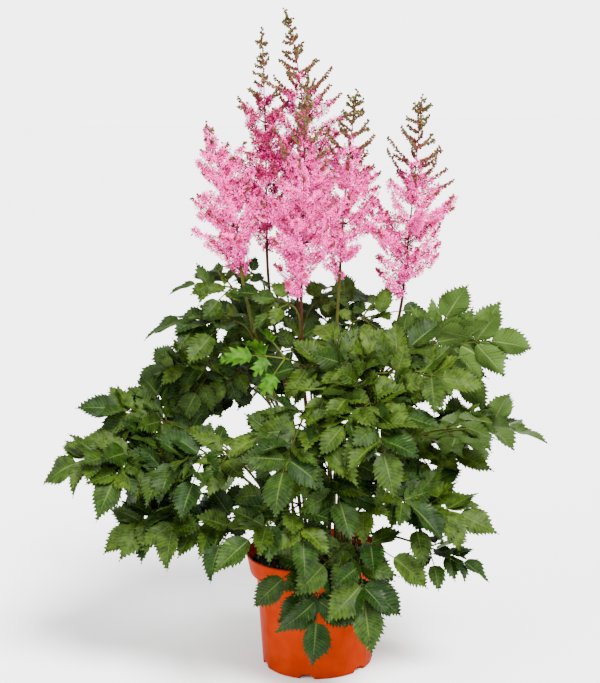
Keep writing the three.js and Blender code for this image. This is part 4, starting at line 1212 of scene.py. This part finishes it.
def soil_wave(x, y):
    return SOIL_RELIEF * np.sin(x * SOIL_WAVES[0]) * np.cos(y * SOIL_WAVES[1])


def add_root_ball(body, rng):
    """The peat's body, and its rough top from the edge to the middle."""
    angles = np.linspace(0, ROUND, SOIL_SEGMENTS, endpoint=False)
    floor_z = CHANNEL_Z + POT_WALL + GAP
    ledge_z = COLLAR_FOOT_Z + POT_WALL + GAP
    outside = [
        (POLE, floor_z), (wall_radius(floor_z) - SOIL_EDGE, floor_z),
        (SHOULDER_RADIUS - SOIL_EDGE, ledge_z), (collar_radius(ledge_z) - SOIL_EDGE, ledge_z),
        (collar_radius(SOIL_Z) - SOIL_EDGE, SOIL_Z - SOIL_RELIEF)]
    rings = [circle(radius, z, angles) for radius, z in outside]
    rough = np.zeros((SOIL_RINGS, SOIL_SEGMENTS))
    rough[1:-1] = rng.normal(0, SOIL_ROUGHNESS, (SOIL_RINGS - 2, SOIL_SEGMENTS))
    for radius, bumps in zip(np.linspace(SOIL_TOP_RADIUS, POLE, SOIL_RINGS), rough):
        wave = soil_wave(radius * np.cos(angles), radius * np.sin(angles))
        rings.append(circle(radius, SOIL_Z + wave + bumps, angles))
    body.add(np.concatenate(rings), strip_faces(len(rings), SOIL_SEGMENTS, True), PEAT, 0, NOWHERE)


def add_crumbs(body, rng):
    """Loose crumbs of peat, most of them small, with a few pale flecks."""
    radius = CRUMB_REACH * np.sqrt(rng.uniform(0, 1, CRUMBS))
    angle = rng.uniform(0, ROUND, CRUMBS)
    size = rng.uniform(0, 1, CRUMBS) ** 3 * (CRUMB_SIZES[1] - CRUMB_SIZES[0]) + CRUMB_SIZES[0]
    x, y = radius * np.cos(angle), radius * np.sin(angle)
    z = SOIL_Z + soil_wave(x, y) + rng.uniform(*CRUMB_RISES, CRUMBS)
    ways = units(rng.normal(size=(CRUMBS, 3)))
    flecks = (rng.uniform(0, 1, CRUMBS) > 1 - FLECK_SHARE).astype(float)
    crumbs = Body("crumbs")
    add_buds(crumbs, np.stack([x, y, z], 1), ways, size, flecks, rng)
    points = crumbs.points[0] + rng.normal(0, CRUMB_SCATTER, crumbs.points[0].shape)
    body.add(points, crumbs.faces[0], CRUMB, crumbs.tints[0], crumbs.places[0])


def make_soil(materials):
    rng = np.random.default_rng(SOIL_SEED)
    body = Body("peat")
    add_root_ball(body, rng)
    add_crumbs(body, rng)
    hand_in(body.build(materials, smooth=False), "soil", "soil")


# ---------------------------------------------------------------- materials

# Noises: their scale and detail.
LEAF_PATCHES = (34, 3)
LEAF_MOTTLES = (150, 4)
LEAF_GLOSS_PATCHES = (90, 2)
LEAF_GRAIN = (420, 3)
STEM_STREAKS = (60, 3)
STEM_GRAIN = (700, 2)
PLASTIC_PATCHES = (55, 3)
PLASTIC_GLOSS_PATCHES = (25, 4)
PLASTIC_GRAIN = (900, 2)
PEAT_PATCHES = (170, 4)
PEAT_GRAIN = (600, 4)

# Gains and offsets: what a value is multiplied by, and what is then added.
LEAF_TONE = (2.4, -0.12)
YOUNG_CUT = (20, -19)
MARGIN_CUT = (7, -6.2)
LEAF_ROUGHNESS = (0.2, 0.42)
STREAK_CUT = (2.2, -0.75)
DEPTH_OF_TINT = (1.4, -0.85)
DEPTH_OF_CHANCE = 1.1
PLASTIC_ROUGHNESS = (0.12, 0.26)

# How thin the veins are painted, and how strong.
SIDE_VEIN_THINNESS = 9
MIDRIB_THINNESS = 11
SIDE_VEIN_SHARE = 0.5
VEIN_SHARE = 0.7
VEIN_DEPTH = 1.4
VEIN_SHADE = 0.55
MARGIN_SHARE = 0.75
OLIVE_RISE = 1.3

# Colours, as stops of a ramp or one by one.
DARK_LEAF = [(0.3, (0.0026, 0.0115, 0.0006)), (0.7, (0.0075, 0.0235, 0.0012))]
OLIVE_LEAF = [(0.3, (0.018, 0.036, 0.0015)), (0.7, (0.038, 0.065, 0.005))]
YOUNG_LEAF = [(0.3, (0.012, 0.052, 0)), (0.7, (0.03, 0.088, 0))]
VEIN_COLOR = (0.06, 0.092, 0.018)
UNDERSIDE = (0.04, 0.078, 0.011)
UNDERSIDE_VEIN = (0.115, 0.16, 0.05)
MARGIN_COLOR = (0.014, 0.016, 0.003)
STEM_COLORS = {
    "leaf stalk": ((0.011, 0.021, 0.001), (0.06, 0.085, 0.008), (0.03, 0.014, 0.002)),
    "brown stalk": ((0.028, 0.009, 0.003), (0.042, 0.012, 0.004), (0.018, 0.003, 0.002)),
    "olive stalk": ((0.034, 0.04, 0.004), (0.048, 0.055, 0.006), (0.04, 0.018, 0.004)),
    "spray stem": ((0.03, 0.014, 0.005), (0.06, 0.013, 0.009), (0.09, 0.014, 0.018)),
}
OLIVE_STALKS = ("left", "right_centre")
PALE_PETAL = [(0, (0.55, 0.007, 0.13)), (PETAL_MIDDLE, (1, 0.045, 0.42)), (1, (1, 0.22, 0.78))]
DEEP_PETAL = [(0, (0.12, 0.001, 0.015)), (PETAL_MIDDLE, (0.34, 0.004, 0.065)), (1, (0.62, 0.025, 0.17))]
OLIVE_BUD = [
    (0, (0.01, 0.0075, 0.0025)), (0.45, (0.045, 0.044, 0.009)), (0.85, (0.11, 0.112, 0.027)),
    (1, (0.1, 0.03, 0.015))]
PINK_BUD = [(0, (0.14, 0.004, 0.02)), (1, (0.34, 0.02, 0.06))]
ORANGE_PLASTIC = [(0.3, (0.215, 0.0125, 0)), (0.7, (0.265, 0.018, 0))]
PLASTIC_GLOSS = (1, 0.16, 0.02, 1)
PEAT_COLORS = [
    (0.3, (0.004, 0.0022, 0.0014)), (0.55, (0.012, 0.006, 0.0035)), (0.8, (0.028, 0.015, 0.008))]
FLECK_COLOR = (0.15, 0.1, 0.06)
FLOOR_COLOR = (0.94, 0.94, 0.94, 1)


class Nodes:
    """A material's nodes, by short calls."""

    def __init__(self, name):
        self.material = bpy.data.materials.new(name)
        self.material.use_nodes = True
        self.tree = self.material.node_tree
        self.shader = self.tree.nodes["Principled BSDF"]

    def link(self, value, socket):
        if hasattr(value, "is_output"):
            self.tree.links.new(value, socket)
        else:
            socket.default_value = value

    def set(self, **values):
        for name, value in values.items():
            self.link(value, self.shader.inputs[name.replace("_", " ")])

    def attribute(self, name, output):
        node = self.tree.nodes.new("ShaderNodeAttribute")
        node.attribute_name = name
        return node.outputs[output]

    def part(self, vector, axis):
        node = self.tree.nodes.new("ShaderNodeSeparateXYZ")
        self.link(vector, node.inputs[0])
        return node.outputs[axis]

    def math(self, operation, *values, clamp=False):
        node = self.tree.nodes.new("ShaderNodeMath")
        node.operation, node.use_clamp = operation, clamp
        for value, socket in zip(values, node.inputs):
            self.link(value, socket)
        return node.outputs[0]

    def noise(self, scale, detail):
        node = self.tree.nodes.new("ShaderNodeTexNoise")
        node.inputs["Scale"].default_value = scale
        node.inputs["Detail"].default_value = detail
        place = self.tree.nodes.new("ShaderNodeTexCoord").outputs["Object"]
        self.link(place, node.inputs["Vector"])
        return node.outputs["Fac"]

    def ramp(self, value, stops):
        node = self.tree.nodes.new("ShaderNodeValToRGB")
        elements = node.color_ramp.elements
        while len(elements) < len(stops):
            elements.new(0.5)
        for element, (place, color) in zip(elements, stops):
            element.position = place
            element.color = (*color, 1)
        self.link(value, node.inputs[0])
        return node.outputs[0]

    def mix(self, share, one, two, blend="MIX"):
        node = self.tree.nodes.new("ShaderNodeMix")
        node.data_type, node.blend_type = "RGBA", blend
        for value, socket in ((share, node.inputs[0]), (one, node.inputs[6]), (two, node.inputs[7])):
            self.link(value if not isinstance(value, tuple) else (*value, 1), socket)
        return node.outputs[2]

    def bump(self, height, strength, distance):
        node = self.tree.nodes.new("ShaderNodeBump")
        node.inputs["Strength"].default_value = strength
        node.inputs["Distance"].default_value = distance
        self.link(height, node.inputs["Height"])
        self.link(node.outputs[0], self.shader.inputs["Normal"])


def leaf_veins(nodes, across, from_vein):
    """1 along a blade's midrib, less along its side veins and 0 between them."""
    side_vein = nodes.math("MULTIPLY", from_vein, SIDE_VEIN_THINNESS)
    side_vein = nodes.math("SUBTRACT", 1, side_vein, clamp=True)
    side_vein = nodes.math("MULTIPLY", side_vein, nodes.math("SUBTRACT", 1, across))
    midrib = nodes.math("SUBTRACT", 1, nodes.math("MULTIPLY", across, MIDRIB_THINNESS), clamp=True)
    return nodes.math("MAXIMUM", midrib, nodes.math("MULTIPLY", side_vein, SIDE_VEIN_SHARE))


def leaf_green(nodes, tint, from_vein):
    """A blade's green by its tint, mottled, and darker midway between two side veins."""
    patch = nodes.noise(*LEAF_PATCHES)
    dark, olive, young = (nodes.ramp(patch, stops) for stops in (DARK_LEAF, OLIVE_LEAF, YOUNG_LEAF))
    older = nodes.mix(nodes.math("MULTIPLY", tint, OLIVE_RISE, clamp=True), dark, olive)
    plain = nodes.mix(nodes.math("MULTIPLY_ADD", tint, *YOUNG_CUT, clamp=True), older, young)
    mottled = nodes.math("MULTIPLY_ADD", nodes.noise(*LEAF_MOTTLES), *LEAF_TONE)
    tone = nodes.math("MULTIPLY_ADD", from_vein, -VEIN_SHADE, mottled)
    return nodes.mix(1, plain, tone, blend="MULTIPLY")


def leaf_material():
    """A blade's two sides, its veins and its thin dark margin."""
    nodes = Nodes("leaf blade")
    tint = nodes.attribute("tint", "Fac")
    place = nodes.attribute("place", "Vector")
    across = nodes.math("ABSOLUTE", nodes.part(place, 1))
    under = nodes.part(place, 2)
    phase = nodes.math("FRACT", nodes.part(place, 0))
    from_vein = nodes.math("ABSOLUTE", nodes.math("SUBTRACT", phase, 0.5))
    vein = leaf_veins(nodes, across, from_vein)
    blade = leaf_green(nodes, tint, from_vein)
    veined = nodes.mix(nodes.math("MULTIPLY", vein, VEIN_SHARE), blade, VEIN_COLOR)
    sided = nodes.mix(under, veined, nodes.mix(vein, UNDERSIDE, UNDERSIDE_VEIN))
    margin = nodes.math("MULTIPLY_ADD", across, *MARGIN_CUT, clamp=True)
    nodes.set(Base_Color=nodes.mix(nodes.math("MULTIPLY", margin, MARGIN_SHARE), sided, MARGIN_COLOR))
    nodes.set(Roughness=nodes.math("MULTIPLY_ADD", nodes.noise(*LEAF_GLOSS_PATCHES), *LEAF_ROUGHNESS))
    nodes.set(Specular_IOR_Level=0.085)
    height = nodes.math("SUBTRACT", nodes.noise(*LEAF_GRAIN), nodes.math("MULTIPLY", vein, VEIN_DEPTH))
    nodes.bump(height, strength=0.5, distance=0.0006)
    return nodes.material


def stem_material(name, low, high, red):
    """A stem that goes from one colour at its foot to another, with reddish streaks."""
    nodes = Nodes(name)
    tint = nodes.attribute("tint", "Fac")
    streaks = nodes.noise(*STEM_STREAKS)
    plain = nodes.mix(tint, low, high)
    share = nodes.math("MULTIPLY_ADD", streaks, *STREAK_CUT, clamp=True)
    nodes.set(Base_Color=nodes.mix(share, plain, red), Roughness=0.5, Specular_IOR_Level=0.07)
    nodes.bump(nodes.noise(*STEM_GRAIN), strength=0.3, distance=0.0004)
    return nodes.material


def floret_material():
    """Petals that pale towards their tips, deeper the greater their tint and their chance. The tint
    carries painted shade deep inside a brush.
    """
    nodes = Nodes("floret")
    tint = nodes.attribute("tint", "Fac")
    place = nodes.attribute("place", "Vector")
    along, chance = nodes.part(place, 0), nodes.part(place, 1)
    pale, deep = nodes.ramp(along, PALE_PETAL), nodes.ramp(along, DEEP_PETAL)
    share = nodes.math("MULTIPLY_ADD", tint, *DEPTH_OF_TINT)
    share = nodes.math("MULTIPLY_ADD", chance, DEPTH_OF_CHANCE, share, clamp=True)
    nodes.set(Base_Color=nodes.mix(share, pale, deep), Roughness=0.6, Specular_IOR_Level=0.1)
    return nodes.material


def bud_material():
    """Buds from pink to olive by their tint, each its own shade."""
    nodes = Nodes("bud")
    tint = nodes.attribute("tint", "Fac")
    chance = nodes.part(nodes.attribute("place", "Vector"), 1)
    olive, pink = nodes.ramp(chance, OLIVE_BUD), nodes.ramp(chance, PINK_BUD)
    nodes.set(Base_Color=nodes.mix(tint, pink, olive), Roughness=0.55, Specular_IOR_Level=0.15)
    return nodes.material


def pot_material():
    nodes = Nodes("pot plastic")
    nodes.set(Base_Color=nodes.ramp(nodes.noise(*PLASTIC_PATCHES), ORANGE_PLASTIC))
    gloss = nodes.noise(*PLASTIC_GLOSS_PATCHES)
    nodes.set(Roughness=nodes.math("MULTIPLY_ADD", gloss, *PLASTIC_ROUGHNESS))
    nodes.set(Specular_IOR_Level=0.01, Specular_Tint=PLASTIC_GLOSS)
    nodes.bump(nodes.noise(*PLASTIC_GRAIN), strength=0.08, distance=0.0002)
    return nodes.material


def soil_material(name):
    nodes = Nodes(name)
    tint = nodes.attribute("tint", "Fac")
    peat = nodes.ramp(nodes.noise(*PEAT_PATCHES), PEAT_COLORS)
    nodes.set(Base_Color=nodes.mix(tint, peat, FLECK_COLOR), Roughness=0.95)
    nodes.bump(nodes.noise(*PEAT_GRAIN), strength=0.8, distance=0.001)
    return nodes.material


def floor_material():
    nodes = Nodes("floor")
    nodes.set(Base_Color=FLOOR_COLOR, Roughness=0.9)
    return nodes.material


# ---------------------------------------------------------------- the whole plant

stems = {name: stem_material(name, *colors) for name, colors in STEM_COLORS.items()}
leaf_materials = [leaf_material(), stems["leaf stalk"]]
for name, leaf in STALK_LEAVES.items():
    make_leaf(f"stalk_leaf_{name}", leaf, leaf_materials)
for name, leaf in FRONDS.items():
    make_leaf(f"frond_{name}", leaf, leaf_materials)
flower_materials = [floret_material(), bud_material()]
for name, stem in FLOWER_STEMS.items():
    make_plume(name, stem, flower_materials, stems["spray stem"])
    make_stalk(name, stem, stems["olive stalk" if name in OLIVE_STALKS else "brown stalk"])
make_pot(pot_material())
make_soil([soil_material("peat"), soil_material("peat crumbs")])

# ---------------------------------------------------------------- floor and light

# Metres. Suns: the side that each shines from, its strength and its spread in degrees.
FLOOR_SIZE = 30
FLOOR_DROP = 0.0005
SUNS = {
    "key light": ((0.9, -1.5, 2.2), 13.2, 22),
    "fill light": ((-2.0, -1.4, 1.2), 3, 40),
}
SKY_LIGHT = 1.6
SKY_SEEN = 5


def make_floor():
    bpy.ops.mesh.primitive_plane_add(size=FLOOR_SIZE, location=(0, 0, -FLOOR_DROP))
    floor = bpy.context.object
    floor.name = "floor"
    floor.data.materials.append(floor_material())


def make_sun(name, place, strength, spread):
    """A broad soft light from a direction, the same over the whole floor."""
    sun = bpy.data.objects.new(name, bpy.data.lights.new(name, "SUN"))
    bpy.context.scene.collection.objects.link(sun)
    sun.data.energy, sun.data.angle = strength, math.radians(spread)
    sun.rotation_euler = (-Vector(place)).to_track_quat("-Z", "Y").to_euler()


def make_world(light, seen):
    """White all round. The camera sees it as bright as the lit floor."""
    world = bpy.data.worlds.new("studio")
    world.use_nodes = True
    nodes = world.node_tree.nodes
    background = nodes["Background"]
    path, strength = nodes.new("ShaderNodeLightPath"), nodes.new("ShaderNodeMix")
    strength.inputs[2].default_value, strength.inputs[3].default_value = light, seen
    world.node_tree.links.new(path.outputs["Is Camera Ray"], strength.inputs[0])
    world.node_tree.links.new(strength.outputs[0], background.inputs["Strength"])
    background.inputs["Color"].default_value = (1, 1, 1, 1)
    bpy.context.scene.world = world


make_floor()
for name, sun in SUNS.items():
    make_sun(name, *sun)
make_world(SKY_LIGHT, SKY_SEEN)
